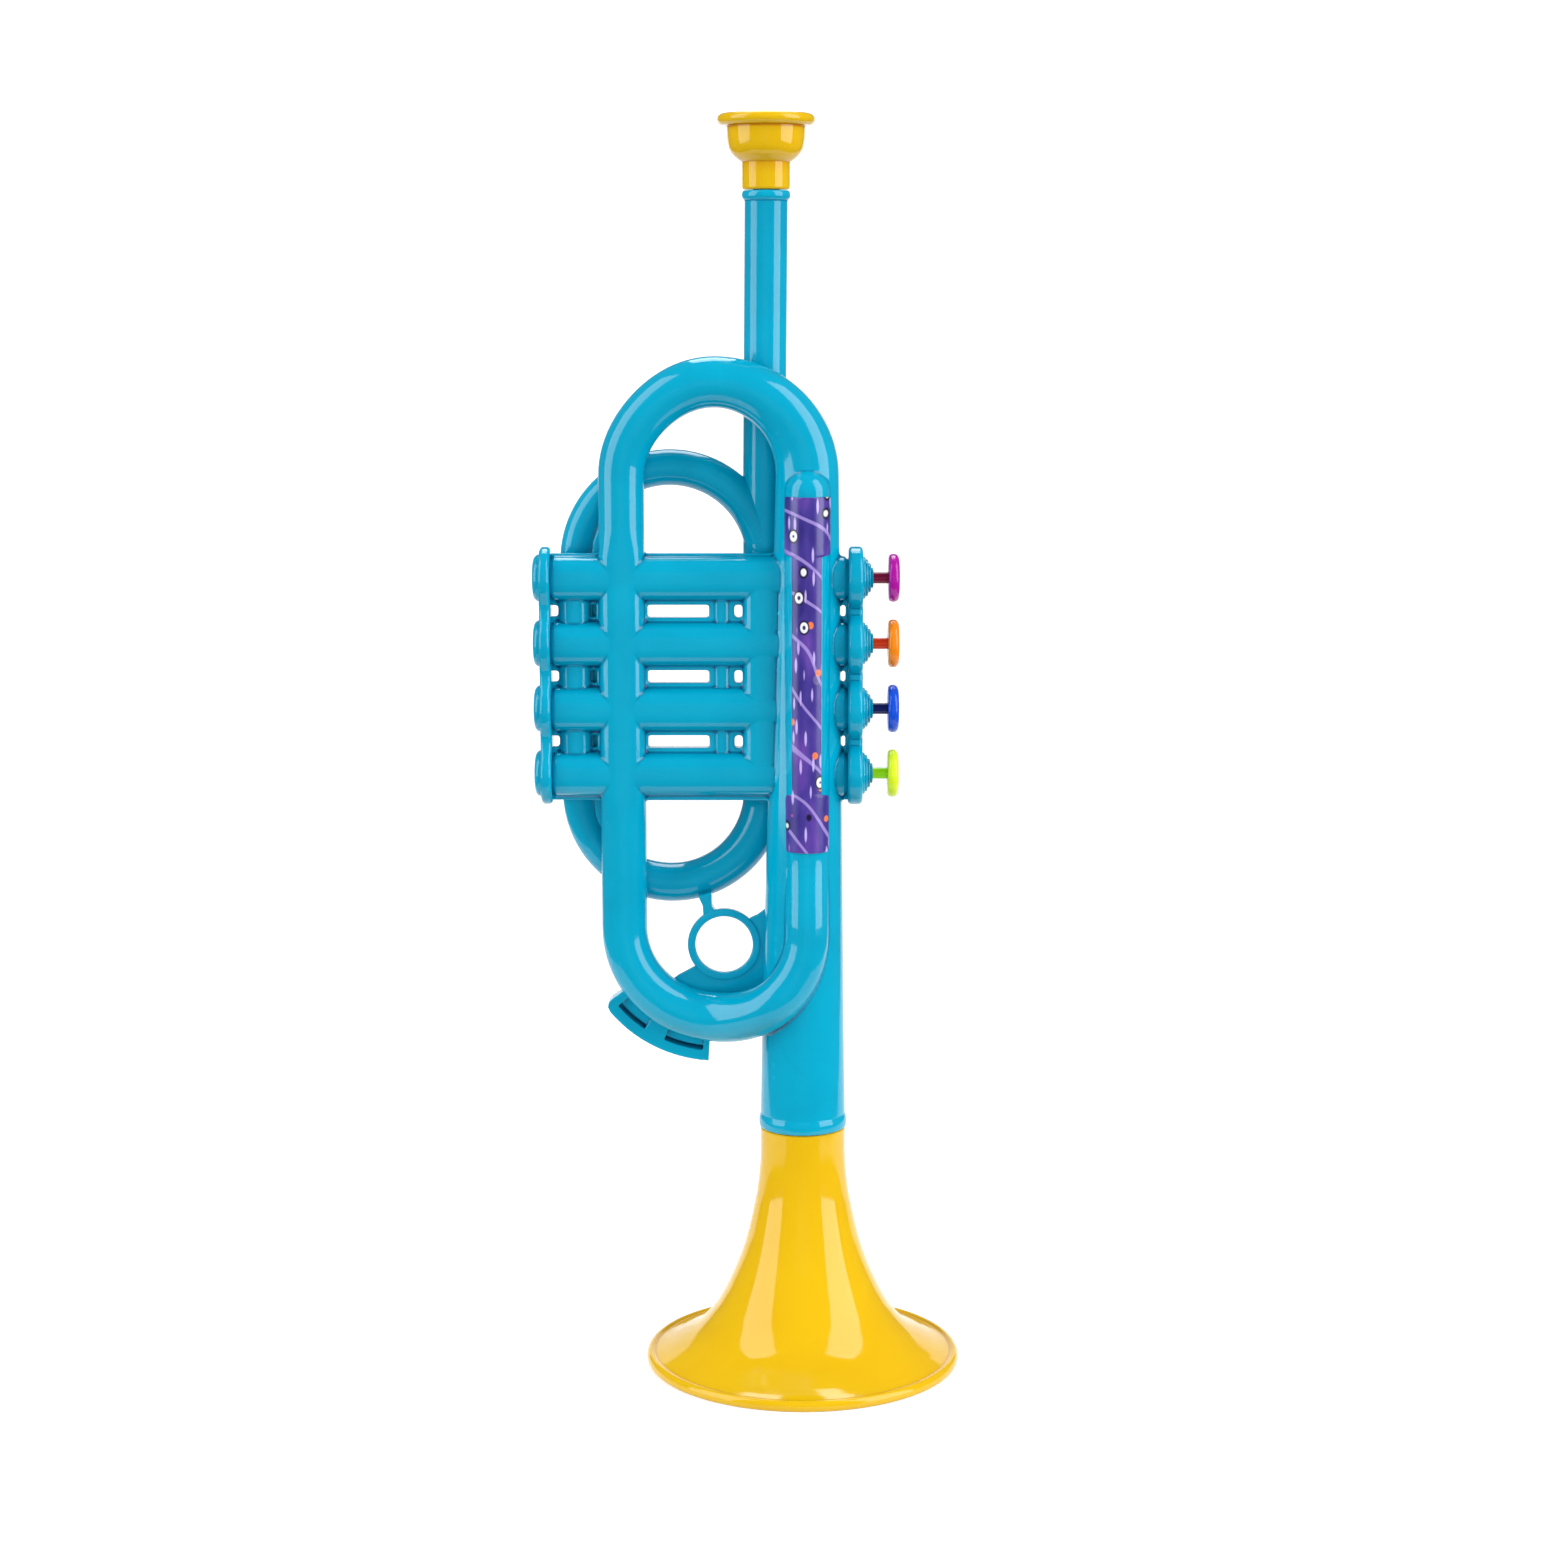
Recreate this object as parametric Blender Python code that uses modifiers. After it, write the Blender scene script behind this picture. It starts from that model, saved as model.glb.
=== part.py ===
"""A toy trumpet of moulded plastic that stands on its bell.

Two shells, parted on the plane Y = 0, form the front loop, the bell tube and four casings.
A lead pipe and a back loop seat behind them. A flared bell plugs in below and a mouthpiece
above. Each casing holds a sprung key that slides along X and lifts a pad off its reed.
Units are metres, +Z is up, the player's side is +Y, and the keys are on the +X side.
"""

import math

import bmesh
import bpy
from mathutils import Matrix, Vector

for old in list(bpy.data.objects):
    bpy.data.objects.remove(old, do_unlink=True)

# Driving sizes
BELL_HEIGHT = 0.0826
BELL_RIM_RADIUS = 0.0535
LOOP_WIDTH = 0.0614
KEY_COUNT = 4
KEY_TRAVEL = 0.0040
WALL = 0.0020
GAP = 0.0003
OVERRUN = 0.0040
WELD = 0.000001

# Bell tube and front loop
BELL_TUBE_FOOT_RADIUS = 0.0144
BELL_TUBE_TOP_RADIUS = 0.0105
BELL_TUBE_LEAN = 0.0013
BELL_TUBE_BELOW_LOOP = 0.0686
BEAD_PROUD = 0.0004
BEAD_HEIGHT = 0.0038
LOOP_ARM_RADIUS = 0.0077
LOOP_BEND_RADIUS = 0.0084
LOOP_BELOW_CASINGS = 0.0526
LOOP_ABOVE_CASINGS = 0.0336
SHOULDER_DROP = 0.0008
FRONT_ARM_RADIUS = 0.00725
FRONT_ARM_FORWARD = 0.0080
FRONT_ARM_ABOVE_BEND = 0.0024

# Casings, with the posts between them
CASING_RADIUS = 0.0073
CASING_SPACING = 0.0072
CASING_PAST_ARM = 0.0236
CASING_PAST_TUBE = 0.0031
POST_RADIUS = 0.0034
POST_FROM_CENTRE = 0.00235
LIP_ABOVE = 0.0009
LIP_BELOW = 0.0016
LIP_THICKNESS = 0.0026
SLOT_HEIGHT = 0.0042
SLOT_INSET = 0.0008
SLOT_CORNER = 0.0011
HOLE_WIDTH = 0.0025
NOTCH_WIDTH = 0.0012
RIB_FRONT = 0.0046
RIB_DEPTH = 0.0020
RIB_PAST_CASINGS = 0.0068

# Lead pipe and back loop
LEAD_RADIUS = 0.00715
LEAD_BORE_RADIUS = 0.0044
LEAD_FROM_TUBE = 0.0143
LEAD_ABOVE_LOOP = 0.0928
LEAD_LEAN = 0.0007
LEAD_BEAD_PROUD = 0.0009
LEAD_BEAD_HEIGHT = 0.0029
BACK_RADIUS = 0.00545
BACK_TOP_RADIUS = 0.0060
BACK_FOOT_RADIUS = 0.0066
BACK_INSIDE_CASINGS = 0.0023
BACK_ABOVE_CASINGS = 0.0044
BACK_BELOW_CASINGS = 0.0081
SEAT_SINK = 0.0004

# Mouthpiece
MOUTHPIECE_HEIGHT = 0.0245
MOUTHPIECE_RIM_RADIUS = 0.0162
MOUTHPIECE_CUP_RADIUS = 0.0133
MOUTHPIECE_STEM_RADIUS = 0.00795
MOUTHPIECE_THROAT_RADIUS = 0.0022
SPIGOT_LENGTH = 0.0100

# End plate and key plate
LOBE_RADIUS = 0.0103
PLATE_BAR_HALF_WIDTH = 0.0062
END_PLATE_THICKNESS = 0.0033
END_BOSS_RADIUS = 0.0078
END_BOSS_HEIGHT = 0.0025
KEY_PLATE_THICKNESS = 0.0046
COLLAR_RADIUS = 0.0072
COLLAR_HEIGHT = 0.0009
NOSE_RADIUS = 0.0031
NOSE_HEIGHT = 0.0024
PLATE_EDGE = 0.0008
PLUG_LENGTH = 0.0030

# Keys
ROD_RADIUS = 0.0018
KEY_CLEARANCE = 0.0010
BUTTON_RADIUS = 0.0080
BUTTON_THICKNESS = 0.0039
BUTTON_EDGE = 0.0014
BUTTON_SOCKET = 0.0022
PAD_RADIUS = 0.0044
PAD_THICKNESS = 0.0022
FLANGE_RADIUS = 0.0042
FLANGE_THICKNESS = 0.0015
CELL_LENGTH = 0.0080
CELL_FROM_TUBE = 0.0145
REED_THICKNESS = 0.0004
REED_WIDTH = 0.0020
REED_LENGTH = 0.0042
REED_OFF_AXIS = 0.0034
AIRWAY_RADIUS = 0.0009
SPRING_LENGTH = 0.0180
SPRING_RADIUS = 0.0036
SPRING_WIRE_RADIUS = 0.00035
SPRING_TURNS = 6
WEB_THICKNESS = 0.0020

# Finger ring, gusset, strut and hook on the rear shell
RING_HOLE_RADIUS = 0.0098
RING_WALL = 0.0025
RING_DEPTH = 0.0026
RING_FRONT = 0.0025
RING_LIP = 0.0004
RING_BELOW_BEND = 0.0066
RING_FROM_CENTRE = 0.0027
GUSSET_THICKNESS = 0.0015
STRUT_WIDTH = 0.0037
STRUT_LEAN = 0.0042
STRUT_BACK = 0.0085
HOOK_REACH = 0.0083
HOOK_CORNER = 0.0032
HOOK_FRONT = 0.0012
HOOK_DEPTH = 0.0070
HOOK_RIM = 0.0016
HOOK_POCKET = 0.0045

# Label and screws
LABEL_THICKNESS = 0.0003
LABEL_BELOW_CASINGS = 0.0246
LABEL_ABOVE_CASINGS = 0.0274
LABEL_END_HEIGHT = 0.0190
LABEL_WAIST = 0.0102
SCREW_RADIUS = 0.0010
SCREW_LENGTH = 0.0080
SCREW_HEAD_RADIUS = 0.0024
SCREW_HEAD_HEIGHT = 0.0014
BOSS_DEPTH = 0.0056

SIDES = 16
FINE_SIDES = 20
BELL_SIDES = 32
BEND_STEPS = 12

# Places worked out from the sizes, seen from the bell's axis
JOINT_Z = BELL_HEIGHT
LOWER_BEND_Z = JOINT_Z + BELL_TUBE_BELOW_LOOP
LOWEST_CASING_Z = LOWER_BEND_Z + LOOP_BELOW_CASINGS
CASING_PITCH = 2 * CASING_RADIUS + CASING_SPACING
CASING_ZS = [LOWEST_CASING_Z + CASING_PITCH * n for n in range(KEY_COUNT)]
UPPER_BEND_Z = CASING_ZS[-1] + LOOP_ABOVE_CASINGS
LEAD_TOP_Z = UPPER_BEND_Z + LEAD_ABOVE_LOOP
BACK_UPPER_Z = CASING_ZS[-1] + BACK_ABOVE_CASINGS
BACK_LOWER_Z = CASING_ZS[0] - BACK_BELOW_CASINGS
TUBE_X = BELL_TUBE_LEAN
LOOP_R = LOOP_WIDTH / 2
ARM_X = TUBE_X - LOOP_WIDTH
LEAD_X = TUBE_X - LEAD_FROM_TUBE
LEAD_TOP_X = LEAD_X + LEAD_LEAN
CASING_LEFT_X = ARM_X - CASING_PAST_ARM
BACK_X = CASING_LEFT_X + BACK_INSIDE_CASINGS + BACK_RADIUS
BACK_R = (LEAD_X - BACK_X) / 2
CASING_RIGHT_X = TUBE_X + BELL_TUBE_TOP_RADIUS + CASING_PAST_TUBE
BACK_FRONT_Y = CASING_RADIUS - SEAT_SINK
BORE_RADIUS = CASING_RADIUS - WALL
PLUG_RADIUS = BORE_RADIUS - GAP
CELL_RIGHT_X = TUBE_X - CELL_FROM_TUBE
CELL_LEFT_X = CELL_RIGHT_X - CELL_LENGTH
FLANGE_LEFT_X = CELL_LEFT_X - 2 * GAP - PAD_THICKNESS - FLANGE_THICKNESS
WEB_X = FLANGE_LEFT_X - SPRING_LENGTH - 2 * GAP
END_PLATE_X = CASING_LEFT_X - GAP
KEY_PLATE_X = CASING_RIGHT_X + GAP
NOSE_X = KEY_PLATE_X + KEY_PLATE_THICKNESS + COLLAR_HEIGHT + NOSE_HEIGHT
BUTTON_X = NOSE_X + KEY_TRAVEL + KEY_CLEARANCE
LEFT_X = END_PLATE_X - END_PLATE_THICKNESS - END_BOSS_HEIGHT
AXIS_X = (-LEFT_X - BELL_RIM_RADIUS) / 2

parts = bpy.data.collections.new("toy_trumpet")
cutters = bpy.data.collections.new("cutters")
bpy.context.scene.collection.children.link(parts)
bpy.context.scene.collection.children.link(cutters)


def material(name, colour, roughness, metallic=0.0):
    made = bpy.data.materials.new(name)
    made.use_nodes = True
    shader = made.node_tree.nodes["Principled BSDF"]
    shader.inputs["Base Color"].default_value = (*colour, 1.0)
    shader.inputs["Roughness"].default_value = roughness
    shader.inputs["Metallic"].default_value = metallic
    made.diffuse_color = (*colour, 1.0)
    return made


CYAN = material("cyan_plastic", (0.0, 0.40, 0.66), 0.25)
YELLOW = material("yellow_plastic", (0.92, 0.55, 0.01), 0.25)
STEEL = material("steel", (0.55, 0.55, 0.56), 0.3, 1.0)
BRASS = material("brass", (0.75, 0.55, 0.20), 0.3, 1.0)
RUBBER = material("rubber", (0.03, 0.03, 0.03), 0.8)
CREAM = material("cream_plastic", (0.70, 0.66, 0.55), 0.5)
FILM = material("printed_film", (0.10, 0.03, 0.35), 0.35)
BUTTONS = [
    material("lime_plastic", (0.70, 0.90, 0.02), 0.3),
    material("blue_plastic", (0.01, 0.08, 0.70), 0.3),
    material("orange_plastic", (0.93, 0.26, 0.01), 0.3),
    material("magenta_plastic", (0.45, 0.01, 0.35), 0.3),
]


def world(x, y, z):
    return Vector((AXIS_X + x, y, z))


def placed(name, mesh, where=None, turn=None, group=None):
    made = bpy.data.objects.new(name, mesh)
    if where is not None:
        made.location = where
    if turn is not None:
        made.rotation_euler = turn
    (group or cutters).objects.link(made)
    if group is None:
        made.hide_render = True
        made.display_type = "WIRE"
    return made


def settled(source, name, group=None):
    """The evaluated object as a plain mesh in place, with its source removed."""
    bpy.context.view_layer.update()
    graph = bpy.context.evaluated_depsgraph_get()
    mesh = bpy.data.meshes.new_from_object(source.evaluated_get(graph))
    matrix = source.matrix_world.copy()
    bpy.data.objects.remove(source, do_unlink=True)
    welded = bmesh.new()
    welded.from_mesh(mesh)
    bmesh.ops.remove_doubles(welded, verts=welded.verts, dist=WELD)
    bmesh.ops.recalc_face_normals(welded, faces=welded.faces)
    welded.to_mesh(mesh)
    welded.free()
    mesh.name = name
    made = placed(name, mesh, group=group)
    made.matrix_world = matrix
    return made


def tube(name, stations, sides=SIDES, group=None):
    """A tube through (point, radius) stations, with filled ends."""
    curve = bpy.data.curves.new(name, "CURVE")
    curve.dimensions = "3D"
    curve.bevel_depth = 1.0
    curve.bevel_resolution = (sides - 4) // 2
    curve.use_fill_caps = True
    spline = curve.splines.new("POLY")
    spline.points.add(len(stations) - 1)
    for spot, (point, radius) in zip(spline.points, stations):
        spot.co = (*point, 1.0)
        spot.radius = radius
    return settled(placed(name + "_curve", curve), name, group)


def outline_plate(name, outline, front, depth):
    """A flat plate in the XZ plane, from its (x, z) outline."""
    curve = bpy.data.curves.new(name, "CURVE")
    curve.dimensions = "2D"
    curve.fill_mode = "BOTH"
    curve.extrude = depth / 2
    spline = curve.splines.new("POLY")
    spline.points.add(len(outline) - 1)
    for spot, (x, z) in zip(spline.points, outline):
        spot.co = (x, z, 0.0, 1.0)
    spline.use_cyclic_u = True
    where = world(0, front + depth / 2, 0)
    return settled(placed(name + "_curve", curve, where, (math.pi / 2, 0, 0)), name)


def cylinder(name, start, end, radius, sides=SIDES, end_radius=None):
    """A cylinder or cone between two points of the world."""
    axis = end - start
    mesh = bpy.data.meshes.new(name)
    shape = bmesh.new()
    bmesh.ops.create_cone(
        shape,
        cap_ends=True,
        segments=sides,
        radius1=radius,
        radius2=radius if end_radius is None else end_radius,
        depth=axis.length,
    )
    shape.to_mesh(mesh)
    shape.free()
    made = placed(name, mesh, (start + end) / 2)
    made.rotation_euler = axis.to_track_quat("Z", "Y").to_euler()
    return made


def box(name, low, high):
    mesh = bpy.data.meshes.new(name)
    shape = bmesh.new()
    size = high - low
    bmesh.ops.create_cube(shape, size=1.0, matrix=Matrix.Diagonal((*size, 1.0)))
    shape.to_mesh(mesh)
    shape.free()
    return placed(name, mesh, (low + high) / 2)


def turned(name, profile, where, steps, turn=None, group=parts):
    """A solid of revolution: the profile runs down its outer side."""
    mesh = bpy.data.meshes.new(name)
    points = [(radius, 0.0, height) for radius, height in profile]
    closed = all(radius > 0 for radius, _ in profile)
    edges = [(n, n + 1) for n in range(len(points) - 1)]
    if closed:
        edges.append((len(points) - 1, 0))
    mesh.from_pydata(points, edges, [])
    made = placed(name, mesh, where, turn, group)
    screw = made.modifiers.new("Screw", "SCREW")
    screw.axis = "Z"
    screw.steps = steps
    screw.render_steps = steps
    screw.use_merge_vertices = True
    screw.merge_threshold = WELD
    return made


def combine(target, tool, operation, crossing=False):
    step = target.modifiers.new(operation.title(), "BOOLEAN")
    step.operation = operation
    step.object = tool
    step.solver = "EXACT"
    step.use_self = crossing
    return target


def finished(made, colour, angle=math.radians(32)):
    made.data.materials.clear()
    made.data.materials.append(colour)
    made.data.shade_smooth()
    if made.data.polygons:
        made.data.set_sharp_from_angle(angle=angle)
    return made


ALONG_X = (0, math.pi / 2, 0)


def bend_point(centre_x, centre_z, bend, turn, y=0.0):
    return world(centre_x + bend * math.cos(turn), y, centre_z + bend * math.sin(turn))


def eased(share):
    return share * share * (3 - 2 * share)


def between(first, middle, last, share):
    """A size that eases from first to middle to last as share runs from zero to one."""
    if share < 0.5:
        return first + (middle - first) * eased(2 * share)
    return middle + (last - middle) * eased(2 * share - 1)


def loop_stations(grown, foot, dome):
    """Stations of the front loop: up the bell tube, over, down, round and up the front arm."""
    lean = Vector((TUBE_X, 0, 0))
    bead_top = JOINT_Z + BEAD_HEIGHT
    bead_end = bead_top + BEAD_PROUD
    foot_radius = BELL_TUBE_FOOT_RADIUS + grown
    found = []
    if foot:
        found.append((world(0, 0, JOINT_Z - foot), foot_radius))
    else:
        found.append((world(0, 0, JOINT_Z), foot_radius + BEAD_PROUD))
        found.append((world(0, 0, bead_top), foot_radius + BEAD_PROUD))
    found.append((world(0, 0, bead_end), foot_radius))
    found.append((world(0, 0, UPPER_BEND_Z) + lean, BELL_TUBE_TOP_RADIUS + grown))
    for n in range(1, BEND_STEPS + 1):
        share = n / BEND_STEPS
        radius = grown + between(BELL_TUBE_TOP_RADIUS, LOOP_BEND_RADIUS, LOOP_ARM_RADIUS, share)
        shoulder = SHOULDER_DROP * math.sin(2 * math.pi * share) ** 2 if share > 0.5 else 0
        point = bend_point(TUBE_X - LOOP_R, UPPER_BEND_Z, LOOP_R - shoulder, math.pi * share)
        found.append((point, radius))
    for n in range(BEND_STEPS + 1):
        share = n / BEND_STEPS
        forward = -FRONT_ARM_FORWARD * eased(max(0, 2 * share - 1))
        radius = grown + between(LOOP_ARM_RADIUS, LOOP_BEND_RADIUS, FRONT_ARM_RADIUS, share)
        turn = math.pi * (1 + share)
        point = bend_point(TUBE_X - LOOP_R, LOWER_BEND_Z, LOOP_R, turn, forward)
        found.append((point, radius))
    top = UPPER_BEND_Z + FRONT_ARM_ABOVE_BEND - dome
    radius = FRONT_ARM_RADIUS + grown
    for angle_share in (0.0, 0.3, 0.6, 0.85):
        angle = angle_share * math.pi / 2
        height = top - radius + radius * math.sin(angle)
        found.append((world(TUBE_X, -FRONT_ARM_FORWARD, height), radius * math.cos(angle)))
    return found


def casing(name, z, left, right, radius):
    return cylinder(name, world(left, 0, z), world(right, 0, z), radius)


def back_bend(centre_z, start, stop, grown):
    """Stations round a bend of the back loop, between two turns counted from the lead pipe."""
    found = []
    for n in range(BEND_STEPS + 1):
        share = start + (stop - start) * n / BEND_STEPS
        if share < 0:
            radius = between(LEAD_RADIUS, BACK_FOOT_RADIUS, BACK_RADIUS, -share)
        else:
            radius = between(BACK_TOP_RADIUS, BACK_TOP_RADIUS, BACK_RADIUS, share)
        centre_y = BACK_FRONT_Y + radius
        point = bend_point(LEAD_X - BACK_R, centre_z, BACK_R, math.pi * share, centre_y)
        found.append((point, radius + grown))
    return found


LEAD_Y = BACK_FRONT_Y + LEAD_RADIUS
BACK_Y = BACK_FRONT_Y + BACK_RADIUS


def lead_stations(grown):
    bead = LEAD_TOP_Z - LEAD_BEAD_HEIGHT
    bead_radius = LEAD_RADIUS + LEAD_BEAD_PROUD
    found = [
        (world(LEAD_TOP_X, LEAD_Y, LEAD_TOP_Z), bead_radius + grown),
        (world(LEAD_TOP_X, LEAD_Y, bead), bead_radius + grown),
        (world(LEAD_TOP_X, LEAD_Y, bead - LEAD_BEAD_PROUD), LEAD_RADIUS + grown),
        (world(LEAD_X, LEAD_Y, UPPER_BEND_Z), LEAD_RADIUS + grown),
    ]
    found += back_bend(BACK_LOWER_Z, 0, -1, grown)
    found.append((world(BACK_X, BACK_Y, CASING_ZS[0]), BACK_RADIUS + grown))
    return found


def back_stations(grown):
    found = [(world(BACK_X, BACK_Y, CASING_ZS[0] + GAP), BACK_RADIUS + grown)]
    found += back_bend(BACK_UPPER_Z, 1, 0.12, grown)
    return found


# The two shells start as one hollow body
body = tube("body", loop_stations(0, 0, 0))
for n, z in enumerate(CASING_ZS):
    pipe = casing(f"casing_{n}", z, CASING_LEFT_X, CASING_RIGHT_X, CASING_RADIUS)
    combine(body, pipe, "UNION", n == 0)
post_x = TUBE_X - LOOP_R + POST_FROM_CENTRE
posts = cylinder(
    "posts", world(post_x, 0, CASING_ZS[0]), world(post_x, 0, CASING_ZS[-1]), POST_RADIUS, 12
)
combine(body, posts, "UNION")
lip_y = LIP_THICKNESS / 2
lip = box(
    "lip",
    world(CASING_LEFT_X + GAP, -lip_y, CASING_ZS[0] - CASING_RADIUS - LIP_BELOW),
    world(CASING_RIGHT_X - GAP, lip_y, CASING_ZS[-1] + CASING_RADIUS + LIP_ABOVE),
)
hole_left = post_x + POST_RADIUS + SLOT_INSET
slots = [
    (CASING_LEFT_X - OVERRUN, ARM_X - LOOP_ARM_RADIUS - SLOT_INSET),
    (ARM_X + LOOP_ARM_RADIUS + SLOT_INSET, post_x - POST_RADIUS - SLOT_INSET),
    (hole_left, hole_left + HOLE_WIDTH),
    (CASING_RIGHT_X - NOTCH_WIDTH, CASING_RIGHT_X + OVERRUN),
]
boss_zs = [(low + high) / 2 for low, high in zip(CASING_ZS, CASING_ZS[1:])]
for row, z in enumerate(boss_zs):
    for n, (left, right) in enumerate(slots):
        corner = min(SLOT_CORNER, (right - left) / 4)
        half = SLOT_HEIGHT / 2
        slot_outline = [
            (left + corner, z - half), (right - corner, z - half), (right, z - half + corner),
            (right, z + half - corner), (right - corner, z + half), (left + corner, z + half),
            (left, z + half - corner), (left, z - half + corner),
        ]
        slot = outline_plate(
            f"slot_{row}_{n}", slot_outline, -lip_y - OVERRUN, LIP_THICKNESS + 2 * OVERRUN
        )
        combine(lip, slot, "DIFFERENCE")
combine(body, lip, "UNION")
body = settled(body, "solid_body")

rear_body = placed("rear_body", body.data.copy())

# Screw bosses, rib, finger ring, gusset, strut and hook belong to the rear half
for n, z in enumerate(boss_zs):
    boss = cylinder(f"boss_{n}", world(post_x, 0, z), world(post_x, BOSS_DEPTH, z), POST_RADIUS, 12)
    combine(rear_body, boss, "UNION")
rib_reach = CASING_RADIUS + RIB_PAST_CASINGS
rib = box(
    "rib",
    world(BACK_X + BACK_RADIUS, RIB_FRONT, CASING_ZS[0] - rib_reach),
    world(ARM_X - LOOP_ARM_RADIUS / 2, RIB_FRONT + RIB_DEPTH, CASING_ZS[-1] + rib_reach),
)
combine(rear_body, rib, "UNION")

ring_x = TUBE_X - LOOP_R + RING_FROM_CENTRE
ring_z = LOWER_BEND_Z - RING_BELOW_BEND
ring_radius = RING_HOLE_RADIUS + RING_WALL
ring_back = RING_FRONT + RING_DEPTH
gusset_front = ring_back - RING_LIP - GUSSET_THICKNESS
gusset_shares = [
    (-0.92, -0.52), (-0.84, -0.46), (-0.60, -0.33), (0.22, 0.40), (0.33, 0.45),
    (0.46, 0.55), (0.80, 0.62), (0.80, -0.60), (0.45, -1.00), (-0.20, -1.05), (-0.70, -0.90),
]
inner_r = LOOP_R - LOOP_ARM_RADIUS
gusset = outline_plate(
    "gusset",
    [(ring_x + LOOP_ARM_RADIUS / 2 + a * inner_r, ring_z + b * inner_r) for a, b in gusset_shares],
    gusset_front,
    GUSSET_THICKNESS,
)
ring = cylinder(
    "ring", world(ring_x, RING_FRONT, ring_z), world(ring_x, ring_back, ring_z), ring_radius, FINE_SIDES
)
strut_top = BACK_LOWER_Z - BACK_R
strut_x = ring_x - STRUT_LEAN
strut = outline_plate(
    "strut",
    [
        (strut_x - STRUT_WIDTH - STRUT_LEAN / 2, strut_top),
        (strut_x - STRUT_LEAN / 2 - STRUT_WIDTH / 6, strut_top),
        (strut_x + STRUT_WIDTH / 2, ring_z + RING_HOLE_RADIUS + RING_WALL / 2),
        (strut_x - STRUT_WIDTH / 2, ring_z + RING_HOLE_RADIUS),
    ],
    RING_FRONT + RING_LIP,
    STRUT_BACK - RING_FRONT,
)


def sector(inner, outer, start, stop, steps, corner=0):
    """An outline between two radii round the front loop's lower bend, in half turns.

    A corner above zero cuts the outer corner at the start.
    """
    turns = [start + (stop - start) * n / steps for n in range(steps + 1)]
    cut = corner / (math.pi * outer)
    around = [(outer, max(turn, start + cut)) for turn in turns]
    around += [(inner, turn) for turn in turns[::-1]]
    if corner > 0:
        around.append((outer - corner, start))
    centre = TUBE_X - LOOP_R
    return [
        (centre + reach * math.cos(math.pi * turn), LOWER_BEND_Z + reach * math.sin(math.pi * turn))
        for reach, turn in around
    ]


hook_in = LOOP_R + LOOP_ARM_RADIUS - HOOK_RIM
hook_out = LOOP_R + LOOP_ARM_RADIUS + HOOK_REACH
hook_outline = sector(hook_in, hook_out, 1.197, 1.478, 10, HOOK_CORNER)
hook = outline_plate("hook", hook_outline, HOOK_FRONT, HOOK_DEPTH)
pocket_in = LOOP_R + LOOP_ARM_RADIUS + HOOK_RIM / 2
pocket_out = hook_out - HOOK_RIM
for n, (start, stop) in enumerate(((1.215, 1.310), (1.345, 1.450))):
    pocket = outline_plate(
        f"pocket_{n}",
        sector(pocket_in, pocket_out, start, stop, 4),
        HOOK_FRONT - OVERRUN,
        HOOK_POCKET + OVERRUN,
    )
    combine(hook, pocket, "DIFFERENCE")
for extra in (gusset, ring, strut, hook):
    combine(rear_body, extra, "UNION")
hole = cylinder(
    "ring_hole",
    world(ring_x, RING_FRONT - OVERRUN, ring_z),
    world(ring_x, ring_back + OVERRUN, ring_z),
    RING_HOLE_RADIUS,
    FINE_SIDES,
)
combine(rear_body, hole, "DIFFERENCE")
rear_body = settled(rear_body, "rear_solid")

# Hollows cut from both halves
inside = tube("inside", loop_stations(-WALL, OVERRUN, WALL))
socket_floor = JOINT_Z + SPIGOT_LENGTH + GAP
bell_socket = cylinder(
    "bell_socket",
    world(0, 0, JOINT_Z - OVERRUN),
    world(0, 0, socket_floor),
    BELL_TUBE_FOOT_RADIUS - WALL,
    BELL_SIDES,
)
bores = []
for n, z in enumerate(CASING_ZS):
    left_end = WEB_X - WEB_THICKNESS
    right_end = CASING_RIGHT_X + OVERRUN
    bores.append(casing(f"bore_left_{n}", z, CASING_LEFT_X - OVERRUN, left_end, BORE_RADIUS))
    bores.append(casing(f"bore_right_{n}", z, WEB_X, right_end, BORE_RADIUS))
screw_holes = []
for n, z in enumerate(boss_zs):
    tip = BOSS_DEPTH - SCREW_LENGTH - GAP
    screw_holes.append(
        cylinder(
            f"screw_hole_{n}",
            world(post_x, tip, z),
            world(post_x, BOSS_DEPTH + OVERRUN, z),
            SCREW_RADIUS + GAP,
            8,
        )
    )
top = LEAD_TOP_Z + OVERRUN
reach = BELL_RIM_RADIUS - LEFT_X
front_room = box("front_room", world(-reach, -reach, 0), world(reach, GAP / 2, top))
rear_room = box("rear_room", world(-reach, -GAP / 2, 0), world(reach, reach, top))
lead_grown = tube("lead_grown", lead_stations(GAP))

for name, solid, room in (("front_shell", body, rear_room), ("rear_shell", rear_body, front_room)):
    shell = placed(name, solid.data.copy(), group=parts)
    combine(shell, inside, "DIFFERENCE", True)
    combine(shell, bell_socket, "DIFFERENCE")
    for bore in bores:
        combine(shell, bore, "DIFFERENCE")
    for screw_hole in screw_holes:
        combine(shell, screw_hole, "DIFFERENCE")
    if name == "rear_shell":
        combine(shell, lead_grown, "DIFFERENCE")
    combine(shell, room, "DIFFERENCE")
    finished(shell, CYAN)

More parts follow.
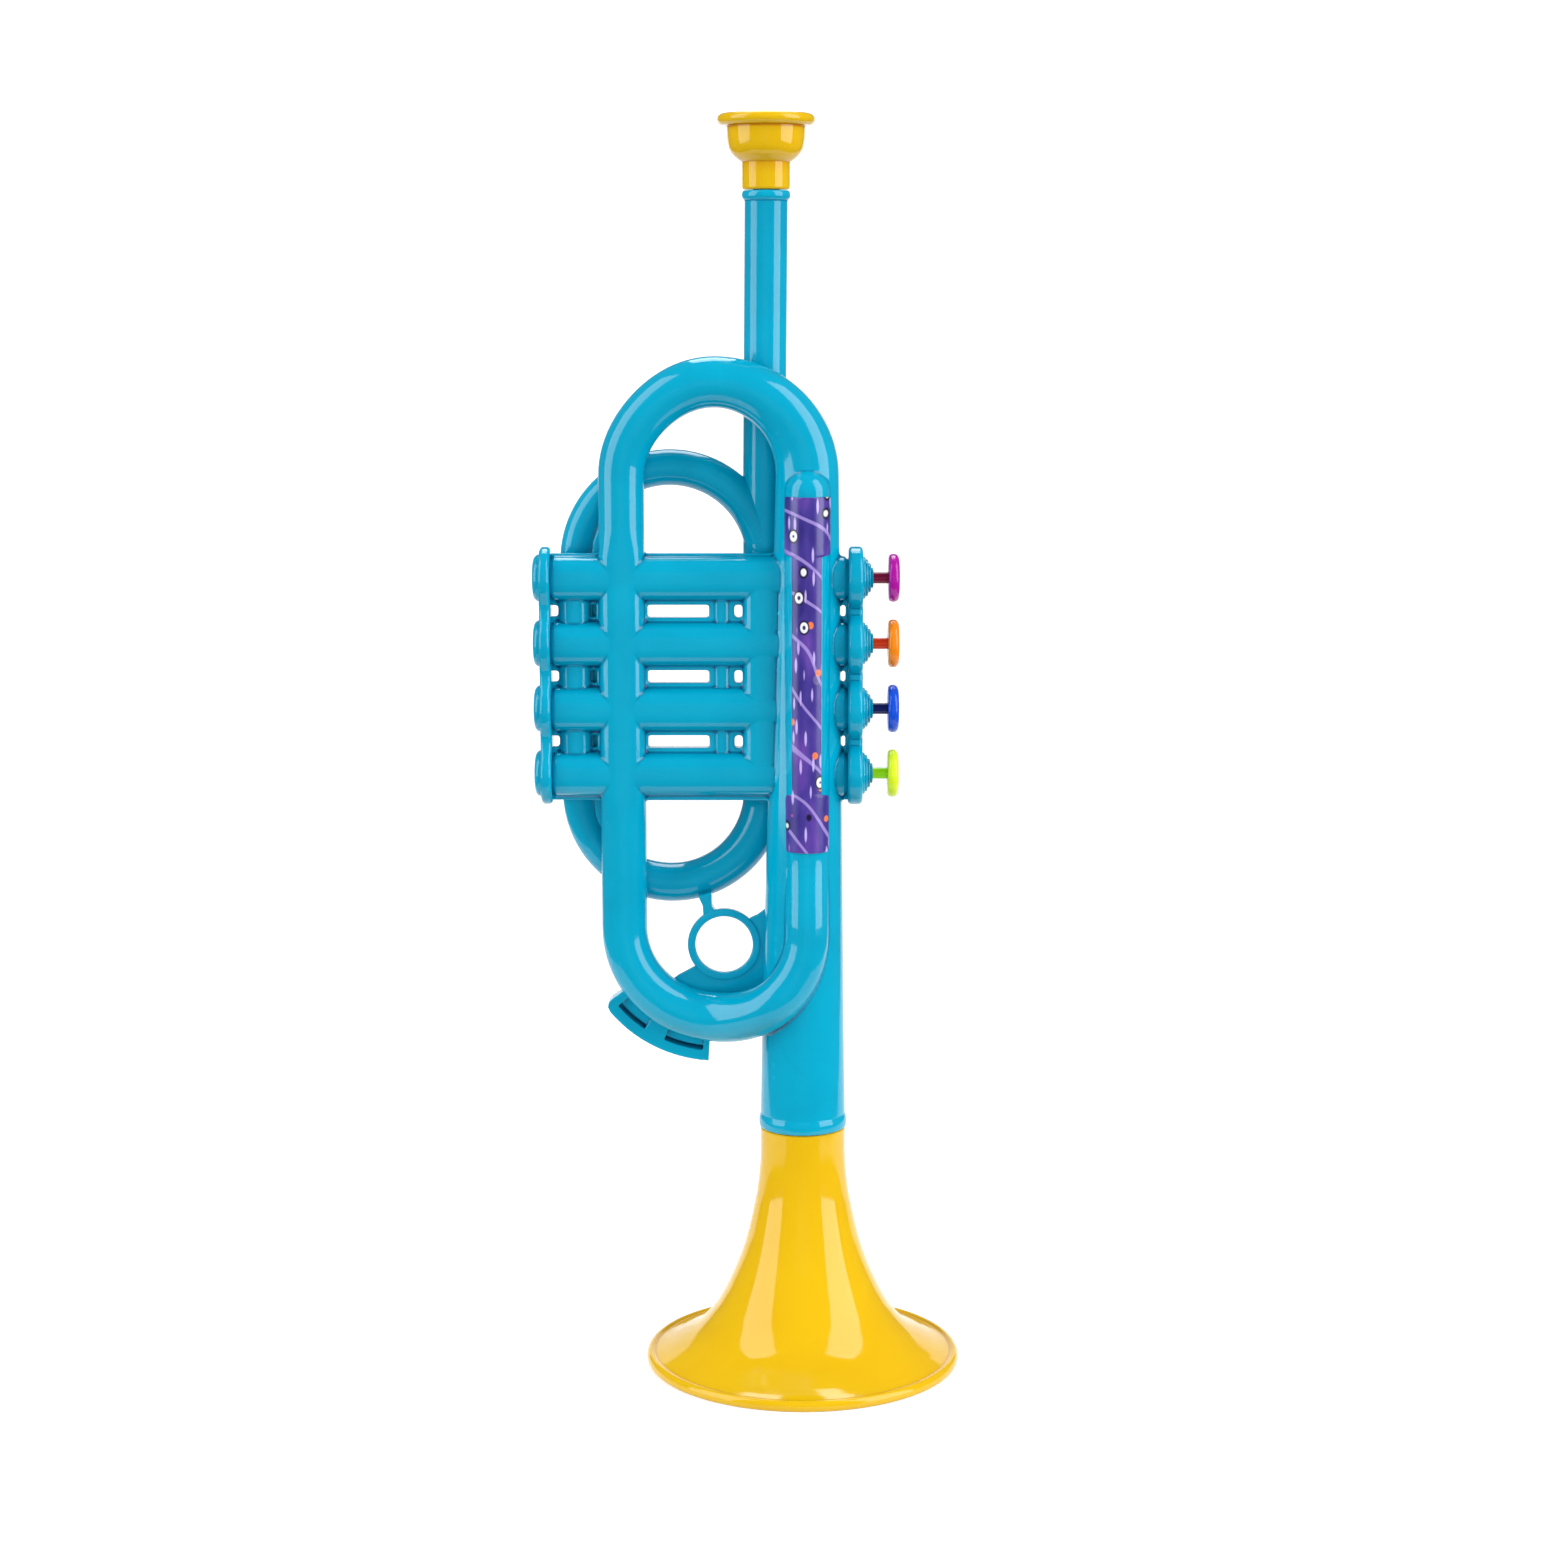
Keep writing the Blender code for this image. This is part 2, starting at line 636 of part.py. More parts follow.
# Lead pipe and back loop, seated against the shells
grown = tube("body_grown", loop_stations(GAP, 0, -GAP))
room_ends = (CASING_LEFT_X - OVERRUN, CASING_RIGHT_X + OVERRUN)
casing_room = [
    casing(f"casing_room_{n}", z, *room_ends, CASING_RADIUS + GAP) for n, z in enumerate(CASING_ZS)
]
lead = tube("lead_pipe", lead_stations(0), group=parts)
back = tube("back_loop", back_stations(0), group=parts)
lead_bore = cylinder(
    "lead_bore",
    world(LEAD_X, LEAD_Y, BACK_LOWER_Z),
    world(LEAD_TOP_X, LEAD_Y, LEAD_TOP_Z + OVERRUN),
    LEAD_BORE_RADIUS,
)
combine(lead, lead_bore, "DIFFERENCE")
combine(back, lead_grown, "DIFFERENCE")
for pipe in (lead, back):
    combine(pipe, grown, "DIFFERENCE", True)
    for room in casing_room:
        combine(pipe, room, "DIFFERENCE")
    finished(pipe, CYAN)

# Mouthpiece, turned, with a spigot in the lead pipe
stem = MOUTHPIECE_STEM_RADIUS
cup = MOUTHPIECE_CUP_RADIUS
rim = MOUTHPIECE_RIM_RADIUS
high = MOUTHPIECE_HEIGHT
spigot = LEAD_BORE_RADIUS - GAP
throat = MOUTHPIECE_THROAT_RADIUS
outer_radius_shares = [
    (rim, 0.975, 0.985), (rim, 1.0, 0.955), (rim, 1.0, 0.90), (rim, 0.97, 0.86), (cup, 1.02, 0.83),
    (cup, 1.0, 0.67), (cup, 0.96, 0.62), (cup, 0.885, 0.52), (cup, 0.77, 0.45), (cup, 0.66, 0.39),
    (stem, 1.0, 0.355), (stem, 1.0, 0.02), (stem, 0.97, 0.0),
]
mouth_profile = [(size * share, high * level) for size, share, level in outer_radius_shares]
mouth_profile += [(spigot, 0.0), (spigot, -SPIGOT_LENGTH), (throat, -SPIGOT_LENGTH)]
inner_radius_shares = [
    (throat, 1.0, 0.34), (cup, 0.42, 0.44), (cup, 0.72, 0.58), (cup, 0.84, 0.74),
    (cup, 0.88, 0.88), (rim, 0.76, 0.955), (rim, 0.82, 0.99), (rim, 0.90, 1.0),
]
mouth_profile += [(size * share, high * level) for size, share, level in inner_radius_shares]
mouthpiece = turned(
    "mouthpiece", mouth_profile, world(LEAD_TOP_X, LEAD_Y, LEAD_TOP_Z + GAP), FINE_SIDES
)
finished(mouthpiece, YELLOW)

# Bell, turned, with a flat foot and a spigot in the bell tube
neck = BELL_TUBE_FOOT_RADIUS
flare = BELL_RIM_RADIUS - neck
skin = WALL
flare_shares = [
    (0.0, 0.985), (0.0, 0.83), (0.023, 0.76), (0.05, 0.69), (0.10, 0.56), (0.147, 0.49),
    (0.20, 0.42), (0.262, 0.35), (0.33, 0.28), (0.415, 0.21), (0.565, 0.13), (0.77, 0.07),
    (0.90, 0.041),
]
lip = WALL
plug = BELL_TUBE_FOOT_RADIUS - WALL - GAP
foot_top = JOINT_Z - GAP
bell_outer = [(neck + flare * share, BELL_HEIGHT * level) for share, level in flare_shares]
bell_outer[0] = (bell_outer[0][0], foot_top)
rim_outer = [
    (BELL_RIM_RADIUS - lip / 2, lip), (BELL_RIM_RADIUS, lip / 2), (BELL_RIM_RADIUS, lip / 4),
    (BELL_RIM_RADIUS - lip / 4, 0.0), (BELL_RIM_RADIUS - 2 * lip, 0.0),
]
bell_inner = [
    (neck + flare * share - skin, BELL_HEIGHT * level - skin * share)
    for share, level in flare_shares[:1:-1]
]
spigot_top = foot_top + SPIGOT_LENGTH
bell_profile = [(plug, spigot_top), (plug, foot_top)] + bell_outer + rim_outer + bell_inner
bell_profile += [(plug - skin, spigot_top)]
bell = turned("bell", bell_profile, world(0, 0, 0), BELL_SIDES)
finished(bell, YELLOW)

# End plate on the left of the casings
lowest, highest = CASING_ZS[0], CASING_ZS[-1]


def lobed_plate(name, near, far):
    """Four round lobes on a bar, between two X places."""
    bar = box(
        name + "_bar",
        world(near, -PLATE_BAR_HALF_WIDTH, lowest),
        world(far, PLATE_BAR_HALF_WIDTH, highest),
    )
    for n, z in enumerate(CASING_ZS):
        ends = (world(near, 0, z), world(far, 0, z))
        combine(bar, cylinder(f"{name}_lobe_{n}", *ends, LOBE_RADIUS, FINE_SIDES), "UNION")
    return bar


end_far = END_PLATE_X - END_PLATE_THICKNESS
end = lobed_plate("end_body", end_far, END_PLATE_X)
for n, z in enumerate(CASING_ZS):
    boss_base = world(end_far + PLATE_EDGE, 0, z)
    boss_top = world(LEFT_X, 0, z)
    crown = END_BOSS_RADIUS - 2 * PLATE_EDGE
    boss = cylinder(f"end_boss_{n}", boss_base, boss_top, END_BOSS_RADIUS, SIDES, crown)
    plug_end = world(CASING_LEFT_X + PLUG_LENGTH, 0, z)
    combine(end, boss, "UNION")
    combine(end, cylinder(f"end_plug_{n}", boss_base, plug_end, PLUG_RADIUS), "UNION")
end_plate = settled(end, "end_plate", parts)
finished(end_plate, CYAN)

# Key plate on the right, with a stepped nose round each rod
key_far = KEY_PLATE_X + KEY_PLATE_THICKNESS
guide = ROD_RADIUS + GAP
key_body = lobed_plate("key_body", KEY_PLATE_X, key_far)
for n, z in enumerate(CASING_ZS):
    collar_x = key_far + COLLAR_HEIGHT
    collar_start = world(key_far - PLATE_EDGE, 0, z)
    collar = cylinder(f"collar_{n}", collar_start, world(collar_x, 0, z), COLLAR_RADIUS)
    nose = cylinder(
        f"nose_{n}",
        world(collar_x - PLATE_EDGE, 0, z),
        world(NOSE_X, 0, z),
        COLLAR_RADIUS - PLATE_EDGE,
        SIDES,
        NOSE_RADIUS,
    )
    plug_start = world(CASING_RIGHT_X - PLUG_LENGTH, 0, z)
    key_plug = cylinder(f"key_plug_{n}", plug_start, collar_start, PLUG_RADIUS)
    for piece in (collar, nose, key_plug):
        combine(key_body, piece, "UNION")
for n, z in enumerate(CASING_ZS):
    hole_start = world(CASING_RIGHT_X - PLUG_LENGTH - OVERRUN, 0, z)
    hole_end = world(NOSE_X + OVERRUN, 0, z)
    combine(key_body, cylinder(f"rod_hole_{n}", hole_start, hole_end, guide, 12), "DIFFERENCE")
key_plate = settled(key_body, "key_plate", parts)
finished(key_plate, CYAN)

# Four keys, lowest first: button, rod with its flange, pad and spring; reed and cell stay put
flange_right = FLANGE_LEFT_X + FLANGE_THICKNESS
socket = ROD_RADIUS + GAP
for n, z in enumerate(CASING_ZS):
    number = n + 1
    centre = world(BUTTON_X, 0, z)
    button_profile = [
        (0.0, BUTTON_THICKNESS),
        (BUTTON_RADIUS - BUTTON_EDGE, BUTTON_THICKNESS),
        (BUTTON_RADIUS - BUTTON_EDGE / 4, BUTTON_THICKNESS - BUTTON_EDGE / 2),
        (BUTTON_RADIUS, BUTTON_THICKNESS - BUTTON_EDGE),
        (BUTTON_RADIUS, BUTTON_EDGE / 2),
        (BUTTON_RADIUS - BUTTON_EDGE / 2, 0.0),
        (socket, 0.0),
        (socket, BUTTON_SOCKET),
        (0.0, BUTTON_SOCKET),
    ]
    button = turned(f"key_button_{number}", button_profile, centre, FINE_SIDES, ALONG_X)
    finished(button, BUTTONS[n])
    rod_end = BUTTON_SOCKET - GAP
    rod_profile = [
        (0.0, rod_end),
        (ROD_RADIUS, rod_end),
        (ROD_RADIUS, flange_right - BUTTON_X),
        (FLANGE_RADIUS, flange_right - BUTTON_X),
        (FLANGE_RADIUS, FLANGE_LEFT_X - BUTTON_X),
        (0.0, FLANGE_LEFT_X - BUTTON_X),
    ]
    rod = turned(f"key_rod_{number}", rod_profile, centre, 12, ALONG_X)
    finished(rod, BUTTONS[n])
    pad_low = flange_right + GAP - BUTTON_X
    pad_profile = [
        (PAD_RADIUS, pad_low + PAD_THICKNESS),
        (PAD_RADIUS, pad_low),
        (socket, pad_low),
        (socket, pad_low + PAD_THICKNESS),
    ]
    pad = turned(f"key_pad_{number}", pad_profile, centre, SIDES, ALONG_X)
    finished(pad, RUBBER)
    coil = []
    per_turn = 8
    rise = SPRING_LENGTH - 2 * SPRING_WIRE_RADIUS
    for step in range(SPRING_TURNS * per_turn + 1):
        turn = 2 * math.pi * step / per_turn
        x = WEB_X + GAP + SPRING_WIRE_RADIUS + rise * step / (SPRING_TURNS * per_turn)
        point = world(x, SPRING_RADIUS * math.cos(turn), z + SPRING_RADIUS * math.sin(turn))
        coil.append((point, SPRING_WIRE_RADIUS))
    spring = tube(f"key_spring_{number}", coil, 4, parts)
    finished(spring, STEEL)
    cell_centre = world(CELL_LEFT_X, 0, z)
    cell_profile = [
        (PLUG_RADIUS, CELL_LENGTH),
        (PLUG_RADIUS, 0.0),
        (socket, 0.0),
        (socket, CELL_LENGTH),
    ]
    cell = turned(f"reed_cell_{number}", cell_profile, cell_centre, SIDES, ALONG_X)
    airway = cylinder(
        f"airway_{number}",
        world(CELL_LEFT_X - OVERRUN, -REED_OFF_AXIS, z),
        world(CELL_RIGHT_X + OVERRUN, -REED_OFF_AXIS, z),
        AIRWAY_RADIUS,
        8,
    )
    combine(cell, airway, "DIFFERENCE")
    finished(cell, CREAM)
    reed_x = CELL_RIGHT_X + GAP
    reed_low = world(reed_x, -REED_OFF_AXIS - REED_WIDTH / 2, z - REED_LENGTH / 2)
    reed_high = world(reed_x + REED_THICKNESS, -REED_OFF_AXIS + REED_WIDTH / 2, z + REED_LENGTH / 2)
    reed = settled(box(f"reed_{number}_block", reed_low, reed_high), f"reed_{number}", parts)
    finished(reed, BRASS)

# Label round the front of the front arm: wide at both ends, narrow between
label_low = lowest - LABEL_BELOW_CASINGS
label_high = highest + LABEL_ABOVE_CASINGS
label_radius = FRONT_ARM_RADIUS + GAP + LABEL_THICKNESS
label_axis = -FRONT_ARM_FORWARD
label_half = label_radius + OVERRUN
waist = LABEL_WAIST / 2
label_outline = [
    (TUBE_X - label_half, label_low),
    (TUBE_X + label_half, label_low),
    (TUBE_X + label_half, label_low + LABEL_END_HEIGHT),
    (TUBE_X + waist, label_low + LABEL_END_HEIGHT),
    (TUBE_X + waist, label_high - LABEL_END_HEIGHT),
    (TUBE_X + label_half, label_high - LABEL_END_HEIGHT),
    (TUBE_X + label_half, label_high),
    (TUBE_X - label_half, label_high),
    (TUBE_X - label_half, label_high - LABEL_END_HEIGHT),
    (TUBE_X - waist, label_high - LABEL_END_HEIGHT),
    (TUBE_X - waist, label_low + LABEL_END_HEIGHT),
    (TUBE_X - label_half, label_low + LABEL_END_HEIGHT),
]
label_depth = label_radius + OVERRUN - FRONT_ARM_RADIUS / 2
label_front = label_axis - label_radius - OVERRUN
label_body = outline_plate("label_plate", label_outline, label_front, label_depth)
sleeve_low = world(TUBE_X, label_axis, label_low - OVERRUN)
sleeve_high = world(TUBE_X, label_axis, label_high + OVERRUN)
sleeve = cylinder("label_sleeve", sleeve_low, sleeve_high, label_radius, FINE_SIDES)
combine(label_body, sleeve, "INTERSECT")
combine(
    label_body,
    cylinder("label_core", sleeve_low, sleeve_high, FRONT_ARM_RADIUS + GAP, FINE_SIDES),
    "DIFFERENCE",
)
label = settled(label_body, "label", parts)
finished(label, FILM)

# Three screws through the rear bosses
for n, z in enumerate(boss_zs):
    head_top = SCREW_HEAD_HEIGHT
    screw_profile = [
        (0.0, head_top),
        (SCREW_HEAD_RADIUS / 2, head_top),
        (SCREW_HEAD_RADIUS, head_top / 2),
        (SCREW_HEAD_RADIUS, 0.0),
        (SCREW_RADIUS, 0.0),
        (SCREW_RADIUS, -SCREW_LENGTH),
        (0.0, -SCREW_LENGTH),
    ]
    head = world(post_x, BOSS_DEPTH + GAP, z)
    screw = turned(f"screw_{n + 1}", screw_profile, head, 12, (-math.pi / 2, 0, 0))
    finished(screw, STEEL)
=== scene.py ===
"""A toy trumpet of moulded plastic, standing on the rim of its bell in a small studio."""

import math

import bmesh
import bpy
from mathutils import Matrix, Vector


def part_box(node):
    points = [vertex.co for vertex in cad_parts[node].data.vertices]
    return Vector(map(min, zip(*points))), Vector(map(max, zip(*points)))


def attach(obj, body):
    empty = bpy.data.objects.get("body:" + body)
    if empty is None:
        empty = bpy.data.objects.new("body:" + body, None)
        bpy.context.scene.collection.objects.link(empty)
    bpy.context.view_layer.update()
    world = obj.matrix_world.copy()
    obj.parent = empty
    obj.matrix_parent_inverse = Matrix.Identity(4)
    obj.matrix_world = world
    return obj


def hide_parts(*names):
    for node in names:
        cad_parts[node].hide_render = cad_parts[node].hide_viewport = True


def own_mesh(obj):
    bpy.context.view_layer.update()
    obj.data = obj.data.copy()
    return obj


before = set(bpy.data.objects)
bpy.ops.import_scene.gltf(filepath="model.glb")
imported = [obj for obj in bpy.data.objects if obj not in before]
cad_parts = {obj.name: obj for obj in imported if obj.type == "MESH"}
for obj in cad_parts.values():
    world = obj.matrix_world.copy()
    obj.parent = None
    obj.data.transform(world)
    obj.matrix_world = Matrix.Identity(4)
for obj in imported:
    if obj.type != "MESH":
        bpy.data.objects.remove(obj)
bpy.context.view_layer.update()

# Camera
# A long lens about a metre in front of the toy, above its middle and tipped down by nine degrees,
# so that the bell's rim shows as a shallow curve.
camera = bpy.data.objects.new("camera", bpy.data.cameras.new("camera"))
camera.data.sensor_width = 36.0
camera.data.lens = 67.27
camera.location = (0.01175, -0.969, 0.3527)
camera.rotation_euler = (math.radians(81.05), 0.0, 0.0)
bpy.context.scene.collection.objects.link(camera)
bpy.context.scene.camera = camera
bpy.context.scene.view_settings.view_transform = "Standard"

# Table and paper backdrop
# A sheet of white card lies under the toy, and another stands behind it with a curved foot.
# The card is matt, so it keeps the toy's soft shadow. It is narrow in front, so that the tubes'
# sides mirror the dim room and not the white.
card_glow = 0.50
table_front, table_front_half = -0.20, 0.25
backdrop_half, backdrop_y, backdrop_top = 0.72, 1.30, 0.70
foot_r, foot_steps = 0.25, 12


def new_material(name):
    """A new material, its node tree and its plain shader."""
    made = bpy.data.materials.new(name)
    made.use_nodes = True
    return made, made.node_tree, made.node_tree.nodes["Principled BSDF"]


def feed(tree, socket, given):
    """Gives a socket a link where another node's socket is given, and otherwise a value."""
    if isinstance(given, bpy.types.NodeSocket):
        tree.links.new(given, socket)
    elif socket.type == "RGBA":
        socket.default_value = (*given, 1.0)
    else:
        socket.default_value = given


def fill(tree, node, **sockets):
    """Feeds a node's sockets by their names, in which _ stands for a space."""
    for name, given in sockets.items():
        feed(tree, node.inputs[name.replace("_", " ")], given)
    return node


def add(tree, kind, **sockets):
    """A new shader node with its sockets fed."""
    made = tree.nodes.new("ShaderNode" + kind)
    if kind == "Mix":
        made.data_type = "RGBA"
    return fill(tree, made, **sockets)


def worked_out(tree, operation, first, second):
    """One value worked out from two others."""
    made = add(tree, "Math")
    made.operation = operation
    feed(tree, made.inputs[0], first)
    feed(tree, made.inputs[1], second)
    return made.outputs[0]


card, card_tree, _ = new_material("white_card")
card_tree.nodes.clear()
fibres = add(card_tree, "TexNoise", Scale=40.0)
tone = add(card_tree, "MapRange", Value=fibres.outputs["Fac"], To_Min=0.70, To_Max=0.74)
matt = add(card_tree, "BsdfDiffuse", Color=tone.outputs["Result"])
rays = add(card_tree, "LightPath")
seen = worked_out(card_tree, "MAXIMUM", rays.outputs["Is Camera Ray"], rays.outputs["Is Glossy Ray"])
seen = worked_out(card_tree, "MAXIMUM", seen, rays.outputs["Is Transmission Ray"])
glow = add(card_tree, "Emission", Strength=worked_out(card_tree, "MULTIPLY", seen, card_glow))
both = add(card_tree, "AddShader")
feed(card_tree, both.inputs[0], matt.outputs[0])
feed(card_tree, both.inputs[1], glow.outputs[0])
add(card_tree, "OutputMaterial", Surface=both.outputs[0])

foot_y = backdrop_y - foot_r
curve = []
for step in range(foot_steps + 1):
    turn = math.pi / 2 * step / foot_steps
    curve.append((foot_y + foot_r * math.sin(turn), foot_r * (1 - math.cos(turn))))
for name, sheet_rows in (
    ("table", [(table_front, 0.0), (foot_y, 0.0)]),
    ("backdrop", curve + [(backdrop_y, backdrop_top)]),
):
    corners = [(side * backdrop_half, y, z) for y, z in sheet_rows for side in (-1, 1)]
    if name == "table":
        corners[:2] = [(side * table_front_half, table_front, 0.0) for side in (-1, 1)]
    faces = [(2 * n, 2 * n + 1, 2 * n + 3, 2 * n + 2) for n in range(len(sheet_rows) - 1)]
    sheet = bpy.data.meshes.new(name)
    sheet.from_pydata(corners, [], faces)
    sheet.shade_smooth()
    sheet.materials.append(card)
    stand = bpy.data.objects.new(name, sheet)
    bpy.context.scene.collection.objects.link(stand)

# Lamps
# Two tall soft boxes at the sides draw the long stripes down the tubes, and a third one, above
# and behind, draws the thin bright lines along their upper edges. A weak lamp in front, which the
# plastic doesn't mirror, and the pale room fill in the rest.
toy_middle = Vector((0.0, 0.0, 0.24))
side_box_drop = 0.30
for name, around, height, away, wide, tall, power in (
    ("left_side_box", -69.0, 1.02, 1.30, 1.05, 2.14, 23.5),
    ("right_side_box", 65.0, 1.02, 1.30, 1.05, 2.14, 29.0),
    ("top_box", 180.0, 1.30, 0.66, 0.58, 0.65, 6.8),
    ("front_fill", 0.0, 0.24, 1.60, 0.90, 0.90, 9.4),
):
    lamp = bpy.data.lights.new(name, "AREA")
    lamp.shape = "RECTANGLE"
    lamp.size = wide
    lamp.size_y = tall
    lamp.energy = power
    made = bpy.data.objects.new(name, lamp)
    turn = math.radians(around)
    made.location = (away * math.sin(turn), -away * math.cos(turn), height)
    aim = Vector((0.0, 0.0, height - side_box_drop)) if name.endswith("side_box") else toy_middle
    made.rotation_euler = (aim - made.location).to_track_quat("-Z", "Y").to_euler()
    made.visible_glossy = name != "front_fill"
    bpy.context.scene.collection.objects.link(made)
world = bpy.data.worlds.new("room")
world.use_nodes = True
world.node_tree.nodes["Background"].inputs["Color"].default_value = (0.97, 0.99, 1.0, 1.0)
world.node_tree.nodes["Background"].inputs["Strength"].default_value = 0.14
bpy.context.scene.world = world

# Front and rear shells
# The body is moulded in two halves of glossy cyan plastic, parted on the plane of the loop and
# screwed together from behind. Tubes, casings and the thin web with its slots are one moulding,
# so every inner corner has a small fillet.
axis_x = (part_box("bell")[0].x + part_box("bell")[1].x) / 2
joint_z, lower_bend_z, upper_bend_z = 0.0826, 0.1512, 0.3028
casing_zs = [0.2038, 0.2256, 0.2474, 0.2692]
casing_left, casing_right = -0.0837, 0.0149
casing_r, casing_flatness = 0.0073, 0.7
tube_x, loop_r = 0.0013, 0.0307
loop_x = tube_x - loop_r
arm_x = loop_x - loop_r
tube_foot_z, tube_foot_r, tube_top_r, bore_end_z = 0.0868, 0.0144, 0.0105, 0.1180
left_arm_r, arm_flatness, bend_r = 0.0076, 1.0, 0.0084
front_arm_r, front_arm_y, front_arm_top = 0.00725, -0.0080, 0.3052
low_bend_y = -0.0118


def at(x, y, z):
    """A point counted from the bell's axis."""
    return Vector((axis_x + x, y, z))


def eased(share):
    """The same share from 0 to 1, slow at both ends."""
    return share * share * (3 - 2 * share)


def between(first, middle, last, share):
    """A size that eases from first to middle to last."""
    if share < 0.5:
        return first + (middle - first) * eased(2 * share)
    return middle + (last - middle) * eased(2 * share - 1)


def add_tube(shape, stations, sides=44, across=Vector((0.0, 1.0, 0.0))):
    """A closed tube through (point, radius) stations, flatter in front where a third value is given."""
    rings = []
    for n, (point, radius, *flatter) in enumerate(stations):
        before = stations[max(n - 1, 0)][0]
        after = stations[min(n + 1, len(stations) - 1)][0]
        along = (after - before).normalized()
        side = (across - along * along.dot(across)).normalized()
        up = along.cross(side)
        power = 2.0 + sum(flatter)
        ring = []
        for k in range(sides):
            c, s = math.cos(2 * math.pi * k / sides), math.sin(2 * math.pi * k / sides)
            reach = radius * (abs(c) ** power + abs(s) ** power) ** (-1 / power)
            ring.append(shape.verts.new(point + reach * (c * side + s * up)))
        rings.append(ring)
    for near, far in zip(rings, rings[1:]):
        for k in range(sides):
            shape.faces.new((near[k - 1], near[k], far[k], far[k - 1]))
    shape.faces.new(rings[0])
    shape.faces.new(rings[-1][::-1])


def add_turned(shape, profile, place, sides, closed=False, start=0.0, sweep=2 * math.pi):
    """A form turned about Z from (radius, height) points, then set in place by a matrix."""
    whole = sweep > 2 * math.pi - 0.001
    columns = sides if whole else sides + 1
    rings = []
    for radius, height in profile:
        if radius < 1e-6:
            rings.append([shape.verts.new(place @ Vector((0.0, 0.0, height)))] * columns)
            continue
        ring = []
        for k in range(columns):
            turn = start + sweep * k / sides
            spot = Vector((radius * math.cos(turn), radius * math.sin(turn), height))
            ring.append(shape.verts.new(place @ spot))
        rings.append(ring)
    pairs = list(zip(rings, rings[1:]))
    if closed:
        pairs.append((rings[-1], rings[0]))
    for near, far in pairs:
        for k in range(columns if whole else columns - 1):
            m = (k + 1) % columns
            around = list(dict.fromkeys((near[k], near[m], far[m], far[k])))
            if len(around) > 2:
                shape.faces.new(around)


def add_prism(shape, outline, front, back):
    """A straight-sided plate between two depths, from its (x, z) outline."""
    near = [shape.verts.new(at(x, front, z)) for x, z in outline]
    far = [shape.verts.new(at(x, back, z)) for x, z in outline]
    for k in range(len(outline)):
        shape.faces.new((near[k - 1], near[k], far[k], far[k - 1]))
    shape.faces.new(near[::-1])
    shape.faces.new(far)


def add_block(shape, left, right, front, back, low, high):
    """A plain block between six planes."""
    add_prism(shape, [(left, low), (right, low), (right, high), (left, high)], front, back)


def as_object(name, shape):
    """The shape as a new object, with its faces turned outward."""
    mesh = bpy.data.meshes.new(name)
    bmesh.ops.recalc_face_normals(shape, faces=shape.faces)
    shape.to_mesh(mesh)
    shape.free()
    made = bpy.data.objects.new(name, mesh)
    bpy.context.scene.collection.objects.link(made)
    return made


def applied(made):
    """The object's mesh with its modifiers applied, as a bmesh, and the object removed."""
    bpy.context.view_layer.update()
    graph = bpy.context.evaluated_depsgraph_get()
    mesh = bpy.data.meshes.new_from_object(made.evaluated_get(graph))
    bpy.data.objects.remove(made, do_unlink=True)
    shape = bmesh.new()
    shape.from_mesh(mesh)
    bpy.data.meshes.remove(mesh)
    return shape


def carved(shape, tool):
    """The shape with the tool's form cut out of it."""
    block, cutter = as_object("block", shape), as_object("cutter", tool)
    cut = block.modifiers.new("Cut", "BOOLEAN")
    cut.operation = "DIFFERENCE"
    cut.solver = "EXACT"
    cut.object = cutter
    result = applied(block)
    bpy.data.objects.remove(cutter, do_unlink=True)
    return result


def moulded(name, shape, cell, passes):
    """Overlapping forms made one skin of small cells, with its corners smoothed into fillets."""
    rough = as_object(name, shape)
    skin = rough.modifiers.new("Skin", "REMESH")
    skin.mode = "VOXEL"
    skin.voxel_size = cell
    fillets = rough.modifiers.new("Fillets", "SMOOTH")
    fillets.iterations = passes
    return applied(rough)


def merge(shape, extra):
    """Adds another form to the shape as it is."""
    mesh = bpy.data.meshes.new("extra")
    extra.to_mesh(mesh)
    extra.free()
    shape.from_mesh(mesh)
    bpy.data.meshes.remove(mesh)


def put(name, shape, finish, body, slot, *stands_for, crease=0.6):
    """Links a finished piece, gives it its material and hangs it on its body."""
    piece = as_object(name, shape)
    piece.data.shade_smooth()
    piece.data.set_sharp_from_angle(angle=crease)
    piece.data.materials.append(finish)
    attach(piece, body)
    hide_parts(*stands_for)
    return piece


